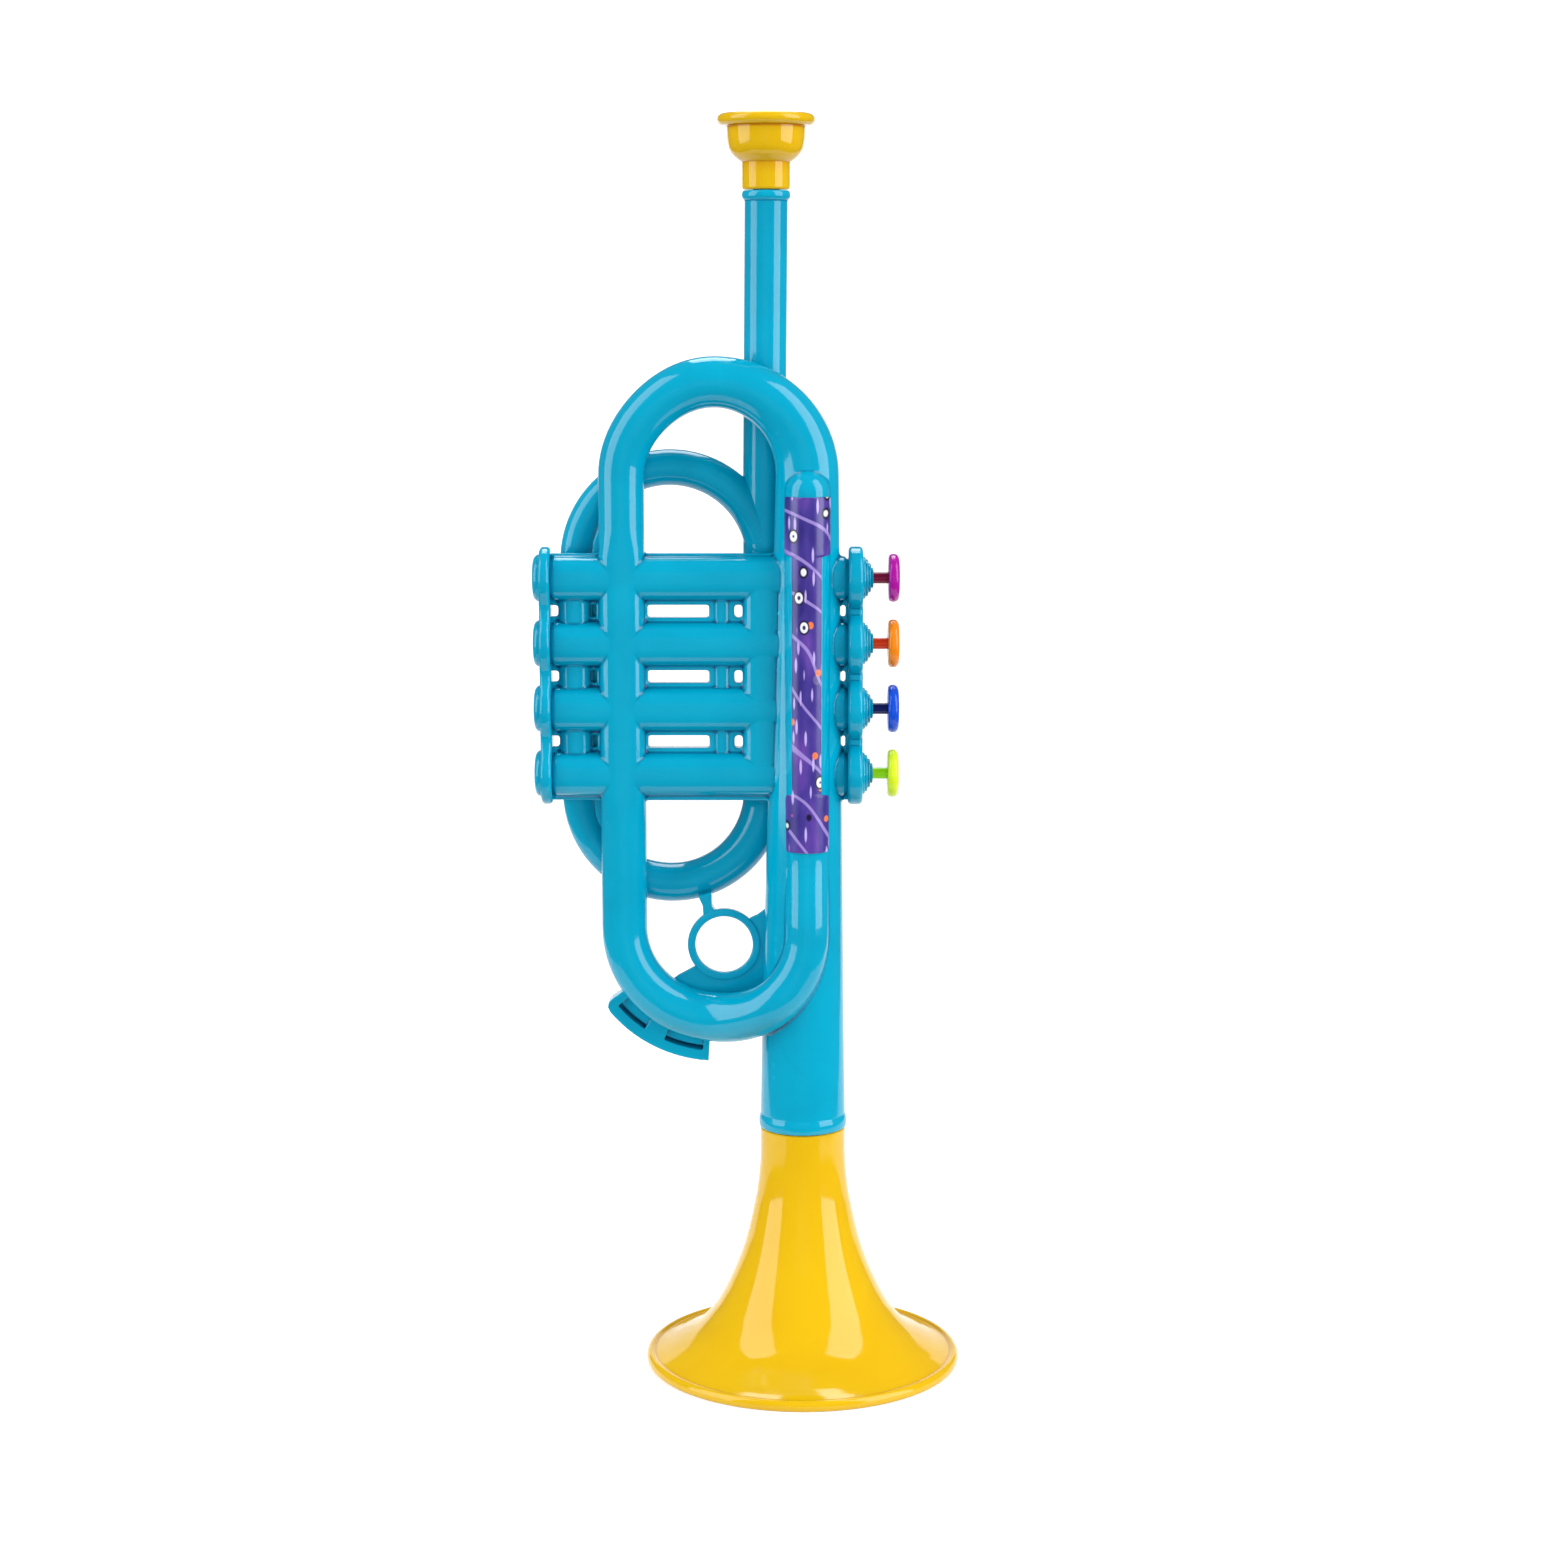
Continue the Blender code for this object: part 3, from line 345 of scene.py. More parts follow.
def moulded_plastic(name, colour, deep, pale, roughness):
    """Glossy moulded plastic: faint flow marks, orange peel, painted shade in concave creases and rubbed
    edges.
    """
    made, tree, shader = new_material(name)
    place = add(tree, "TexCoord").outputs["Object"]
    flow = add(tree, "TexNoise", Vector=place, Scale=38.0, Detail=4.0, Distortion=0.8)
    swirl = add(tree, "MapRange", Value=flow.outputs["Fac"], From_Min=0.30, From_Max=0.75, To_Max=0.16)
    bend = add(tree, "NewGeometry").outputs["Pointiness"]
    # Painted shade: the crease mask darkens concave creases and inner corners towards the deep colour, as if
    # shade fell there.
    crease = add(tree, "MapRange", Value=bend, From_Min=0.496, From_Max=0.468, To_Max=0.92)
    rub = add(tree, "MapRange", Value=bend, From_Min=0.53, From_Max=0.60, To_Max=0.22)
    # The deep colour serves both the flow marks and the painted crease shade; the pale one serves the rubbed
    # edges.
    shade = colour
    for mask, over in ((swirl, deep), (crease, deep), (rub, pale)):
        shade = add(tree, "Mix", Factor=mask.outputs["Result"], A=shade, B=over).outputs["Result"]
    handling = add(tree, "TexNoise", Vector=place, Scale=160.0, Detail=5.0).outputs["Fac"]
    gloss = add(tree, "MapRange", Value=handling, To_Min=roughness - 0.02, To_Max=roughness + 0.05)
    grain = add(tree, "TexNoise", Vector=place, Scale=900.0, Detail=2.0)
    peel = add(tree, "Bump", Strength=0.02, Distance=0.0002, Height=grain.outputs["Fac"])
    fill(
        tree, shader, Base_Color=shade, Roughness=gloss.outputs["Result"],
        Normal=peel.outputs["Normal"], Specular_IOR_Level=0.42,
    )
    return made


# The third colour, a dark navy, is both the flow-mark tone and the painted shade in the creases; the fourth
# is for rubbed edges.
cyan = moulded_plastic(
    "cyan_plastic", (0.0002, 0.382, 0.582), (0.0002, 0.070, 0.190), (0.02, 0.52, 0.75), 0.07
)

# The bell tube, upper bend, left arm, lower bend and front arm, as one long tube. The left arm is
# flatter in front where it crosses the casings, and the lower bend comes forward to pass the bell
# tube. The rings stop just short of the pole of the front arm's tip, so the last one has a width.
tube_rise = upper_bend_z - tube_foot_z
tube_heights = (bore_end_z, 0.16, 0.21, 0.26, upper_bend_z)
bend_steps = 48
shoulder_dip = 0.0008
flat_reach, round_reach = 0.0070, 0.0160
forward_from, forward_over = 0.42, 0.36
settle_steps, settle_rise = 8, 0.0032
tip_steps, tip_short = 12, 0.4


def tube_radius(z):
    """The bell tube's radius, which narrows from its foot to the upper bend."""
    return tube_foot_r + (tube_top_r - tube_foot_r) * (z - tube_foot_z) / tube_rise


def tube_middle(z):
    """How far the bell tube leans off the bell's axis."""
    return tube_x * (z - bore_end_z) / (upper_bend_z - bore_end_z)


loop = [(at(tube_middle(z), 0, z), tube_radius(z)) for z in tube_heights]
for n in range(1, bend_steps + 1):
    share = n / bend_steps
    dip = shoulder_dip * math.sin(2 * math.pi * share) ** 2 if share > 0.5 else 0.0
    reach, turn = loop_r - dip, math.pi * share
    spot = at(loop_x + reach * math.cos(turn), 0, upper_bend_z + reach * math.sin(turn))
    loop.append((spot, between(tube_top_r, bend_r, left_arm_r, share)))
for height, flatness in (
    (casing_zs[-1] + round_reach, 0.0), (casing_zs[-1] + flat_reach, arm_flatness),
    (casing_zs[0] - flat_reach, arm_flatness), (casing_zs[0] - round_reach, 0.0),
):
    loop.append((at(arm_x, 0, height), left_arm_r, flatness))
for n in range(bend_steps + 1):
    share = n / bend_steps
    turn = math.pi * (1 + share)
    forward = low_bend_y * eased(min(1.0, max(0.0, (share - forward_from) / forward_over)))
    spot = at(loop_x + loop_r * math.cos(turn), forward, lower_bend_z + loop_r * math.sin(turn))
    loop.append((spot, between(left_arm_r, bend_r, front_arm_r, share)))
for n in range(1, settle_steps + 1):
    forward = low_bend_y + (front_arm_y - low_bend_y) * eased(n / settle_steps)
    loop.append((at(tube_x, forward, lower_bend_z + settle_rise * n), front_arm_r))
for n in range(tip_steps + 1):
    turn = math.pi / 2 * n / (tip_steps + tip_short)
    height = front_arm_top - front_arm_r + front_arm_r * math.sin(turn)
    loop.append((at(tube_x, front_arm_y, height), front_arm_r * math.cos(turn)))
body = bmesh.new()
add_tube(body, loop, sides=64)

# The bell tube's hollow foot, the casings with a shallow groove at each end, and the post
foot_low_z, wall_top_z = tube_foot_z - 0.0002, bore_end_z + 0.0015
foot_bore_r, plug_r = 0.0125, 0.0010
pipe_wall = [
    (tube_radius(tube_foot_z), foot_low_z), (tube_radius(wall_top_z), wall_top_z),
    (plug_r, wall_top_z), (plug_r, bore_end_z), (0.0108, bore_end_z - 0.0010),
    (0.0121, 0.0930), (foot_bore_r, 0.0928), (foot_bore_r, foot_low_z),
]
add_turned(body, pipe_wall, Matrix.Translation(at(0, 0, 0)), 64, closed=True)
groove_r = 0.0064
casing_end = [(0.0, groove_r), (0.0009, groove_r), (0.0011, casing_r)]
for z in casing_zs:
    stations = [(casing_left + inward, radius) for inward, radius in casing_end]
    stations += [(casing_right - inward, radius) for inward, radius in casing_end[::-1]]
    add_tube(body, [(at(x, 0, z), radius, casing_flatness) for x, radius in stations])
post_x, post_r = -0.02705, 0.0034
add_tube(body, [(at(post_x, 0, casing_zs[0]), post_r), (at(post_x, 0, casing_zs[-1]), post_r)])

# The web between the casings, with a row of slots in each gap. It has its full depth between
# full_left and full_right and is thin at both ends, and so are the bars that part the slots.
web_y, thin_web_y, slot_half, overlap = 0.0026, 0.0010, 0.0021, 0.0006
web_left, web_right = casing_left - 0.0003, casing_right + 0.0002
full_left, full_right = -0.0640, 0.0120
full_bars_left, full_bars_right = -0.069, 0.0
web_low, ridge_high = 0.1949, 0.2774
end_hole_half, left_hole_right = 0.0018, -0.0805
slots = [
    (-0.0900, -0.0812), (-0.0709, -0.0686), (-0.0516, -0.03125), (-0.02285, -0.0202),
    (0.0122, 0.0140), (0.0152, 0.0200),
]
row_zs = [(low + high) / 2 for low, high in zip(casing_zs, casing_zs[1:])]
add_block(body, casing_left, 0.0, -thin_web_y, thin_web_y, casing_zs[-1], ridge_high)
for left, right, deep in (
    (web_left, full_left, thin_web_y), (full_left, full_right, web_y), (full_right, web_right, thin_web_y)
):
    add_block(body, left, right, -deep, deep, web_low, row_zs[0] - slot_half)
    add_block(body, left, right, -deep, deep, row_zs[-1] + slot_half, casing_zs[-1])
    for low, high in zip(row_zs, row_zs[1:]):
        add_block(body, left, right, -deep, deep, low + slot_half, high - slot_half)
for z in row_zs:
    low, high = z - slot_half - overlap, z + slot_half + overlap
    for (_, left), (right, _) in zip(slots, slots[1:]):
        deep = web_y if full_bars_left < left < full_bars_right else thin_web_y
        add_block(body, left, right, -deep, deep, low, high)
    for lip_low, lip_high in ((low, z - end_hole_half), (z + end_hole_half, high)):
        add_block(body, web_left, left_hole_right, -thin_web_y, thin_web_y, lip_low, lip_high)
        add_block(body, full_right, web_right, -thin_web_y, thin_web_y, lip_low, lip_high)

# Two columns across the casings, the screw bosses and the rib behind the slit
back_x, back_r, lead_x = -0.07595, 0.00545, -0.0130
for x, y, radius, flatness in ((back_x, 0.0014, back_r, 0.3), (lead_x, 0.0, 0.0070, 1.3)):
    add_tube(body, [(at(x, y, z), radius, flatness) for z in (casing_zs[0], casing_zs[-1])])
to_rear = Matrix.Rotation(-math.pi / 2, 4, "X")
boss_back = 0.0056
for z in row_zs:
    ends = [(at(post_x, 0, z), post_r), (at(post_x, boss_back, z), post_r)]
    add_tube(body, ends, across=Vector((1.0, 0.0, 0.0)))
rib_front, rib_back = 0.0046, 0.0066
rib = [
    (-0.0705, 0.1957), (-0.0698, 0.1885), (-0.0672, 0.1825), (-0.06395, 0.1815),
    (-0.06395, 0.2878), (-0.0672, 0.2868), (-0.0698, 0.2808), (-0.0705, 0.2736),
]
add_prism(body, rib, rib_front, rib_back)

# All of it is made one skin, and a fine line is sunk where the two halves part
body_cell, fillet_passes = 0.00044, 3
parting_depth, parting_reach = 0.00013, 2e-7
body = moulded("rough_body", body, body_cell, fillet_passes)
everything = body.verts[:] + body.edges[:] + body.faces[:]
bmesh.ops.bisect_plane(
    body, geom=everything, dist=parting_reach / 2, plane_co=(0, 0, 0), plane_no=(0, 1, 0)
)
body.normal_update()
for corner in body.verts:
    if abs(corner.co.y) < parting_reach:
        corner.co -= corner.normal * parting_depth

# Finger ring with its gusset and strut, crisp fittings of the rear half
ring_x, ring_z, ring_hole, ring_r = -0.0267, 0.1446, 0.0097, 0.0123
ring_front, ring_back = 0.0025, 0.0051
ring_place = Matrix.Translation(at(ring_x, 0, ring_z)) @ to_rear
ring_section = [
    (ring_r, ring_front + 0.0006), (ring_r - 0.0001, ring_front + 0.0003),
    (ring_r - 0.0004, ring_front), (ring_hole + 0.0006, ring_front),
    (ring_hole + 0.0002, ring_front + 0.0002), (ring_hole, ring_front + 0.0005),
    (ring_hole, ring_back - 0.0004), (ring_hole + 0.0003, ring_back),
    (ring_r - 0.0004, ring_back), (ring_r, ring_back - 0.0004),
]
gusset_x, gusset_size = ring_x + 0.00385, 0.0230
gusset_front, gusset_back = 0.0032, 0.0047
sharp_from, edge_width = 0.7, 0.00035
gusset_shares = [
    (-0.92, -0.52), (-0.84, -0.46), (-0.60, -0.33), (0.22, 0.40), (0.33, 0.45),
    (0.46, 0.55), (0.80, 0.62), (0.80, -0.60), (0.45, -1.00), (-0.20, -1.05), (-0.70, -0.90),
]
gusset = bmesh.new()
gusset_outline = [(gusset_x + a * gusset_size, ring_z + b * gusset_size) for a, b in gusset_shares]
add_prism(gusset, gusset_outline, gusset_front, gusset_back)
hole_r, hole_front, hole_back = ring_hole + 0.0005, -0.01, 0.02
hole_profile = [(0.0, hole_front), (hole_r, hole_front), (hole_r, hole_back), (0.0, hole_back)]
hole = bmesh.new()
add_turned(hole, hole_profile, ring_place, 80)
fittings = bmesh.new()
merge(fittings, carved(gusset, hole))
strut_front, strut_back = 0.0029, 0.0089
strut_corners = [
    (-0.0087, 0.0166), (-0.0042, 0.0178), (-0.0041, 0.0133), (-0.0028, 0.0112),
    (-0.0070, 0.0100), (-0.0072, 0.0133),
]
add_prism(fittings, [(ring_x + x, ring_z + z) for x, z in strut_corners], strut_front, strut_back)
bmesh.ops.recalc_face_normals(fittings, faces=fittings.faces)
sharp = [e for e in fittings.edges if len(e.link_faces) == 2 and e.calc_face_angle() > sharp_from]
bmesh.ops.bevel(fittings, geom=sharp, offset=edge_width, segments=3, profile=0.5, affect="EDGES")
add_turned(fittings, ring_section, ring_place, 96, closed=True)

# The hook under the lower bend, a curved strip with two pockets
hook_in, hook_out, hook_corner = 0.0368, 0.0467, 0.0034
hook_front, hook_shelf, hook_floor, hook_back = 0.0012, 0.0028, 0.0062, 0.0082
hook_start, hook_stop = 1.197, 1.482
pockets = [(1.2205, 1.309), (1.365, 1.466)]
shelf_out, lip_in, bar_out = 0.0418, 0.0431, 0.0460
hook_cell, hook_passes = 0.00024, 3


def sector(inner, outer, start, stop, steps=10, corner=0.0):
    """An outline between two radii round the lower bend, in half turns, its first corner rounded."""
    turns = [start + (stop - start) * n / steps for n in range(steps + 1)]
    cut = corner / (math.pi * outer)
    around = [(outer, max(turn, start + cut)) for turn in turns]
    around = list(dict.fromkeys(around)) + [(inner, turn) for turn in turns[::-1]]
    if corner > 0:
        around += [(outer - corner, start), (outer - 0.45 * corner, start + 0.13 * cut)]
        around.append((outer - 0.13 * corner, start + 0.45 * cut))
    return [
        (loop_x + reach * math.cos(math.pi * turn), lower_bend_z + reach * math.sin(math.pi * turn))
        for reach, turn in around
    ]


hook = bmesh.new()
add_prism(hook, sector(hook_in, hook_out, hook_start, hook_stop, 14, hook_corner), hook_floor, hook_back)
add_prism(hook, sector(lip_in, hook_out, hook_start, hook_stop, 14, hook_corner), hook_front, hook_back)
for start, stop in pockets:
    add_prism(hook, sector(hook_in, shelf_out, start, stop), hook_shelf, hook_back)
bar_starts = [hook_start] + [stop for _, stop in pockets]
bar_stops = [start for start, _ in pockets] + [hook_stop]
for start, stop in zip(bar_starts, bar_stops):
    corner = hook_corner if start == hook_start else 0.0
    add_prism(hook, sector(hook_in, bar_out, start, stop, 4, corner), hook_front, hook_back)
merge(fittings, moulded("hook", hook, hook_cell, hook_passes))

# A beaded foot finishes each half where the bell plugs in
foot_profile = [
    (0.0126, 0.0828), (0.0126, 0.0826), (0.0145, 0.0826), (0.01475, 0.0829), (0.01485, 0.0836),
    (0.01490, 0.0845), (0.01485, 0.0854), (0.01475, 0.0861), (0.01455, 0.0866), (0.01442, 0.0871),
    (0.01430, 0.0876), (0.0138, 0.0878),
]
parting_turn = 0.004
for name, front in (("front_shell", True), ("rear_shell", False)):
    half = body.copy()
    spare = [f for f in half.faces if (f.calc_center_median().y > 0) == front]
    bmesh.ops.delete(half, geom=spare, context="FACES")
    start = (math.pi if front else 0.0) + parting_turn
    place = Matrix.Translation(at(0, 0, 0))
    add_turned(half, foot_profile, place, 64, start=start, sweep=math.pi - 2 * parting_turn)
    if not front:
        merge(half, fittings)
    shell = put("moulded_" + name, half, cyan, "horn", "cyan", name, crease=1.2)
    flats = shell.modifiers.new("Flats", "WEIGHTED_NORMAL")
    flats.keep_sharp = True
body.free()

# Lead pipe and back loop
# The pipe comes down from the mouthpiece behind the casings, turns round a lower bend and ends in
# the back loop, which curves over and meets the pipe again. Both are cyan mouldings of their own,
# seated in the rear shell.
lead_top_x, lead_top_z, lead_r, lead_bend_r = -0.0123, 0.3956, 0.00715, 0.0066
lead_kink_z = 0.24
back_front_y, back_bend_r, back_top_r = 0.0069, 0.031475, 0.0060
back_upper_z, back_lower_z = 0.2736, 0.1957
back_stop, back_steps = 0.07, 44
lead_y = back_front_y + lead_r


def back_bend(centre_z, start, stop):
    """Stations round a bend of the back loop, in half turns counted from the lead pipe."""
    found = []
    for n in range(back_steps + 1):
        share = start + (stop - start) * n / back_steps
        if share < 0:
            radius = between(lead_r, lead_bend_r, back_r, -share)
        else:
            radius = between(back_top_r, back_top_r, back_r, share)
        turn = math.pi * share
        x = lead_x - back_bend_r + back_bend_r * math.cos(turn)
        spot = at(x, back_front_y + radius, centre_z + back_bend_r * math.sin(turn))
        found.append((spot, radius))
    return found


collar = [
    (0.0, 0.00745), (0.0003, 0.00782), (0.0008, 0.00802), (0.0014, 0.00808), (0.0020, 0.00802),
    (0.0025, 0.00782), (0.0029, 0.00748), (0.0032, 0.00722), (0.0037, 0.00715),
]
lead = bmesh.new()
stations = [(at(lead_top_x, lead_y, lead_top_z - drop), radius) for drop, radius in collar]
stations += [(at(lead_x, lead_y, upper_bend_z), lead_r), (at(lead_x, lead_y, lead_kink_z), lead_r)]
stations += back_bend(back_lower_z, 0, -1)
stations.append((at(back_x, back_front_y + back_r, casing_zs[0]), back_r))
add_tube(lead, stations, 64)
put("moulded_lead_pipe", lead, cyan, "horn", "cyan", "lead_pipe")
back = bmesh.new()
stations = [(at(back_x, back_front_y + back_r, casing_zs[0] + 0.0002), back_r)]
stations += back_bend(back_upper_z, 1, back_stop)
add_tube(back, stations, 56)
put("moulded_back_loop", back, cyan, "horn", "cyan", "back_loop")

# Mouthpiece
# A cup with a thick rounded rim, turned in one with its stem and the spigot that sits in the lead
# pipe. It is the same yellow plastic as the bell.
# The third colour, a deep orange, is both the flow-mark tone and the painted shade in the creases; the
# fourth is for rubbed edges.
yellow = moulded_plastic(
    "yellow_plastic", (0.755, 0.466, 0.004), (0.59, 0.23, 0.002), (0.86, 0.58, 0.02), 0.07
)


def softened(points, cut, steps=4):
    """The same profile with each corner rounded off by up to the cut."""
    found = [points[0]]
    for before, corner, after in zip(points, points[1:], points[2:]):
        corner, before, after = Vector(corner), Vector(before), Vector(after)
        back, on = before - corner, after - corner
        start = corner + back.normalized() * min(cut, back.length * 0.45)
        stop = corner + on.normalized() * min(cut, on.length * 0.45)
        for n in range(steps + 1):
            t = n / steps
            found.append(tuple((1 - t) ** 2 * start + 2 * t * (1 - t) * corner + t * t * stop))
    found.append(points[-1])
    return found


def flowing(points, steps=6):
    """A smooth curve through the points of a profile."""
    spots = [Vector(p) for p in points]
    spots = [2 * spots[0] - spots[1]] + spots + [2 * spots[-1] - spots[-2]]
    found = []
    for a, b, c, d in zip(spots, spots[1:], spots[2:], spots[3:]):
        for n in range(steps):
            t = n / steps
            first_order, second_order = c - a, 2 * a - 5 * b + 4 * c - d
            third_order = 3 * b - a - 3 * c + d
            spot = 0.5 * (2 * b + first_order * t + second_order * t**2 + third_order * t**3)
            found.append(tuple(spot))
    found.append(tuple(spots[-2]))
    return found


spigot_r, throat_r, stem_r = 0.0041, 0.0022, 0.00795
stem = [
    (throat_r, -0.0100), (spigot_r, -0.0100), (spigot_r, 0.0), (0.00760, 0.0), (stem_r, 0.0006),
    (stem_r, 0.0086),
]
cup_side = [
    (0.00800, 0.0089), (0.00880, 0.0094), (0.00970, 0.0101), (0.01060, 0.0109), (0.01150, 0.0120),
    (0.01215, 0.0132), (0.01252, 0.0146), (0.01278, 0.0162), (0.01292, 0.0182), (0.01300, 0.0203),
]
cup_rim = [
    (0.01355, 0.0206), (0.01470, 0.0207), (0.01550, 0.0212), (0.01604, 0.0219), (0.01620, 0.0227),
    (0.01602, 0.0234), (0.01545, 0.0240), (0.01458, 0.0244), (0.01350, 0.0242), (0.01262, 0.0236),
]
cup_bowl = [
    (0.01190, 0.0219), (0.01140, 0.0190), (0.01040, 0.0158), (0.00820, 0.0126), (0.00520, 0.0102),
    (0.00280, 0.0088), (throat_r, 0.0076),
]
mouth_profile = softened(stem, 0.0003, 3) + flowing(cup_side, 4) + flowing(cup_rim, 5) + flowing(cup_bowl, 4)
mouth_place = Matrix.Translation(at(lead_top_x, lead_y, lead_top_z + 0.0003))
mouth = bmesh.new()
add_turned(mouth, mouth_profile, mouth_place, 112, closed=True)
put("turned_mouthpiece", mouth, yellow, "horn", "yellow", "mouthpiece")

# Bell
# A flared horn of yellow plastic with a rolled rim, moulded with a spigot that plugs into the bell
# tube. It stands on the flat underside of the rim.
neck_r, rim_r, bell_skin = 0.0144, 0.0535, 0.0020
flare = rim_r - neck_r
flare_shares = [
    (0.0, 0.985), (0.0, 0.90), (0.006, 0.83), (0.021, 0.76), (0.044, 0.69), (0.103, 0.56), (0.144, 0.49),
    (0.195, 0.42), (0.257, 0.35), (0.328, 0.28), (0.417, 0.21), (0.565, 0.13), (0.77, 0.07), (0.875, 0.046),
]
outside = [(neck_r + flare * share, joint_z * level) for share, level in flare_shares]
outside[0] = (neck_r, joint_z - 0.0007)
rolled = [
    (0.0499, 0.0034), (0.0505, 0.0032), (0.0511, 0.0034), (0.0518, 0.0037), (0.0526, 0.0035),
    (0.0532, 0.0028), (0.05349, 0.0018), (0.0534, 0.0009), (0.0531, 0.0003), (0.0526, 0.0), (0.0495, 0.0),
]
inside = [
    (neck_r + flare * share - bell_skin, joint_z * level - bell_skin * share)
    for share, level in flare_shares[:2:-1]
]
plug_in, plug_out, plug_top, step_z = 0.0101, 0.0121, joint_z + 0.0097, joint_z - 0.0003
spigot = [(plug_in, plug_top), (plug_out, plug_top), (plug_out, step_z), (0.0140, step_z)]
bell_profile = spigot + flowing(outside, 6) + flowing(rolled[:-1], 3) + rolled[-1:] + flowing(inside, 5)
bell = bmesh.new()
add_turned(bell, bell_profile, Matrix.Translation(at(0, 0, 0)), 160, closed=True)
put("turned_bell", bell, yellow, "horn", "yellow", "bell")

# End plate and key plate
# A lobed plate closes each end of the casings. Both are cyan mouldings with rounded edges, glued
# on: the left one has four low domes, the right one a collar and a nose round each key's rod.
lobe_r, lobe_steps, bar_steps = 0.0105, 24, 8
plate_edge, edge_steps = 0.0013, 6
end_x, end_thick, end_bar_half, end_softness = -0.0836, 0.0037, 0.0066, 6
key_x, key_thick, key_bar_half, key_softness = 0.0148, 0.0050, 0.0040, 1
rod_hole_r, hole_steps = 0.0030, 32


def lobed_outline(bar_half, softness):
    """Four round lobes, one at each casing, with a bar of this half width between them."""
    meets = math.acos(bar_half / lobe_r)
    side = []
    for n, z in enumerate(casing_zs):
        low_turn = -math.pi / 2 if n == 0 else -meets
        high_turn = math.pi / 2 if n == len(casing_zs) - 1 else meets
        for k in range(lobe_steps + 1):
            turn = low_turn + (high_turn - low_turn) * k / lobe_steps
            side.append((lobe_r * math.cos(turn), z + lobe_r * math.sin(turn)))
        if n < len(casing_zs) - 1:
            low, high = z + lobe_r * math.sin(meets), casing_zs[n + 1] - lobe_r * math.sin(meets)
            side += [(bar_half, low + (high - low) * k / bar_steps) for k in range(1, bar_steps)]
    outline = [Vector(p) for p in side + [(-y, z) for y, z in side[-2:0:-1]]]
    for _ in range(softness):
        outline = [
            (outline[k - 1] + 2 * outline[k] + outline[(k + 1) % len(outline)]) / 4
            for k in range(len(outline))
        ]
    return outline


def add_lobed_plate(shape, outline, start, stop, hole_r):
    """A lobed outline between two x places, with round edges and a hole at each lobe."""
    count = len(outline)
    outward = []
    for k in range(count):
        along = outline[(k + 1) % count] - outline[k - 1]
        outward.append(Vector((along.y, -along.x)).normalized())
    towards = 1.0 if stop > start else -1.0
    rounding = []
    for k in range(edge_steps + 1):
        turn = math.pi / 2 * k / edge_steps
        rounding.append((plate_edge * (1 - math.sin(turn)), plate_edge * (1 - math.cos(turn))))
    layers = [(start + towards * deep, inset) for deep, inset in rounding[::-1]]
    layers += [(stop - towards * deep, inset) for deep, inset in rounding]
    rings = []
    for x, inset in layers:
        spots = [p - o * inset for p, o in zip(outline, outward)]
        rings.append([shape.verts.new(at(x, spot.x, spot.y)) for spot in spots])
    for near, far in zip(rings, rings[1:]):
        for k in range(count):
            shape.faces.new((near[k - 1], near[k], far[k], far[k - 1]))
    for ring, x in ((rings[0], start), (rings[-1], stop)):
        edges = [shape.edges.get((ring[k - 1], ring[k])) for k in range(count)]
        for z in casing_zs if hole_r else []:
            turns = [2 * math.pi * k / hole_steps for k in range(hole_steps)]
            rim = [shape.verts.new(at(x, hole_r * math.cos(t), z + hole_r * math.sin(t))) for t in turns]
            edges += [shape.edges.new((rim[k - 1], rim[k])) for k in range(hole_steps)]
        bmesh.ops.triangle_fill(shape, edges=edges, use_beauty=True)


to_left = Matrix.Rotation(-math.pi / 2, 4, "Y")
to_right = Matrix.Rotation(math.pi / 2, 4, "Y")
end_plate = bmesh.new()
add_lobed_plate(end_plate, lobed_outline(end_bar_half, end_softness), end_x, end_x - end_thick, 0.0)
dome = [
    (0.0079, -0.0006), (0.0078, 0.0002), (0.0076, 0.0010), (0.0070, 0.0017), (0.0060, 0.0021),
    (0.0044, 0.00225), (0.0, 0.0023),
]
for z in casing_zs:
    place = Matrix.Translation(at(end_x - end_thick, 0, z)) @ to_left
    add_turned(end_plate, flowing(dome, 4), place, 72)
put("moulded_end_plate", end_plate, cyan, "horn", "cyan", "end_plate", crease=0.9)
key_plate = bmesh.new()
add_lobed_plate(key_plate, lobed_outline(key_bar_half, key_softness), key_x, key_x + key_thick, rod_hole_r)
nose_bore = [(0.00215, -0.0050), (0.00215, 0.0032)]
nose = [
    (0.0023, 0.0034), (0.0031, 0.0034), (0.0034, 0.0031), (0.0034, 0.0027), (0.0045, 0.0026),
    (0.0049, 0.0022), (0.0049, 0.0018), (0.0058, 0.0017), (0.0062, 0.0013), (0.0062, 0.0009),
    (0.0067, 0.0008), (0.0070, 0.0003), (0.0070, -0.0006),
]
for z in casing_zs:
    place = Matrix.Translation(at(key_x + key_thick, 0, z)) @ to_right
    add_turned(key_plate, nose_bore + flowing(nose, 4), place, 72)
put("moulded_key_plate", key_plate, cyan, "horn", "cyan", "key_plate", crease=0.9)

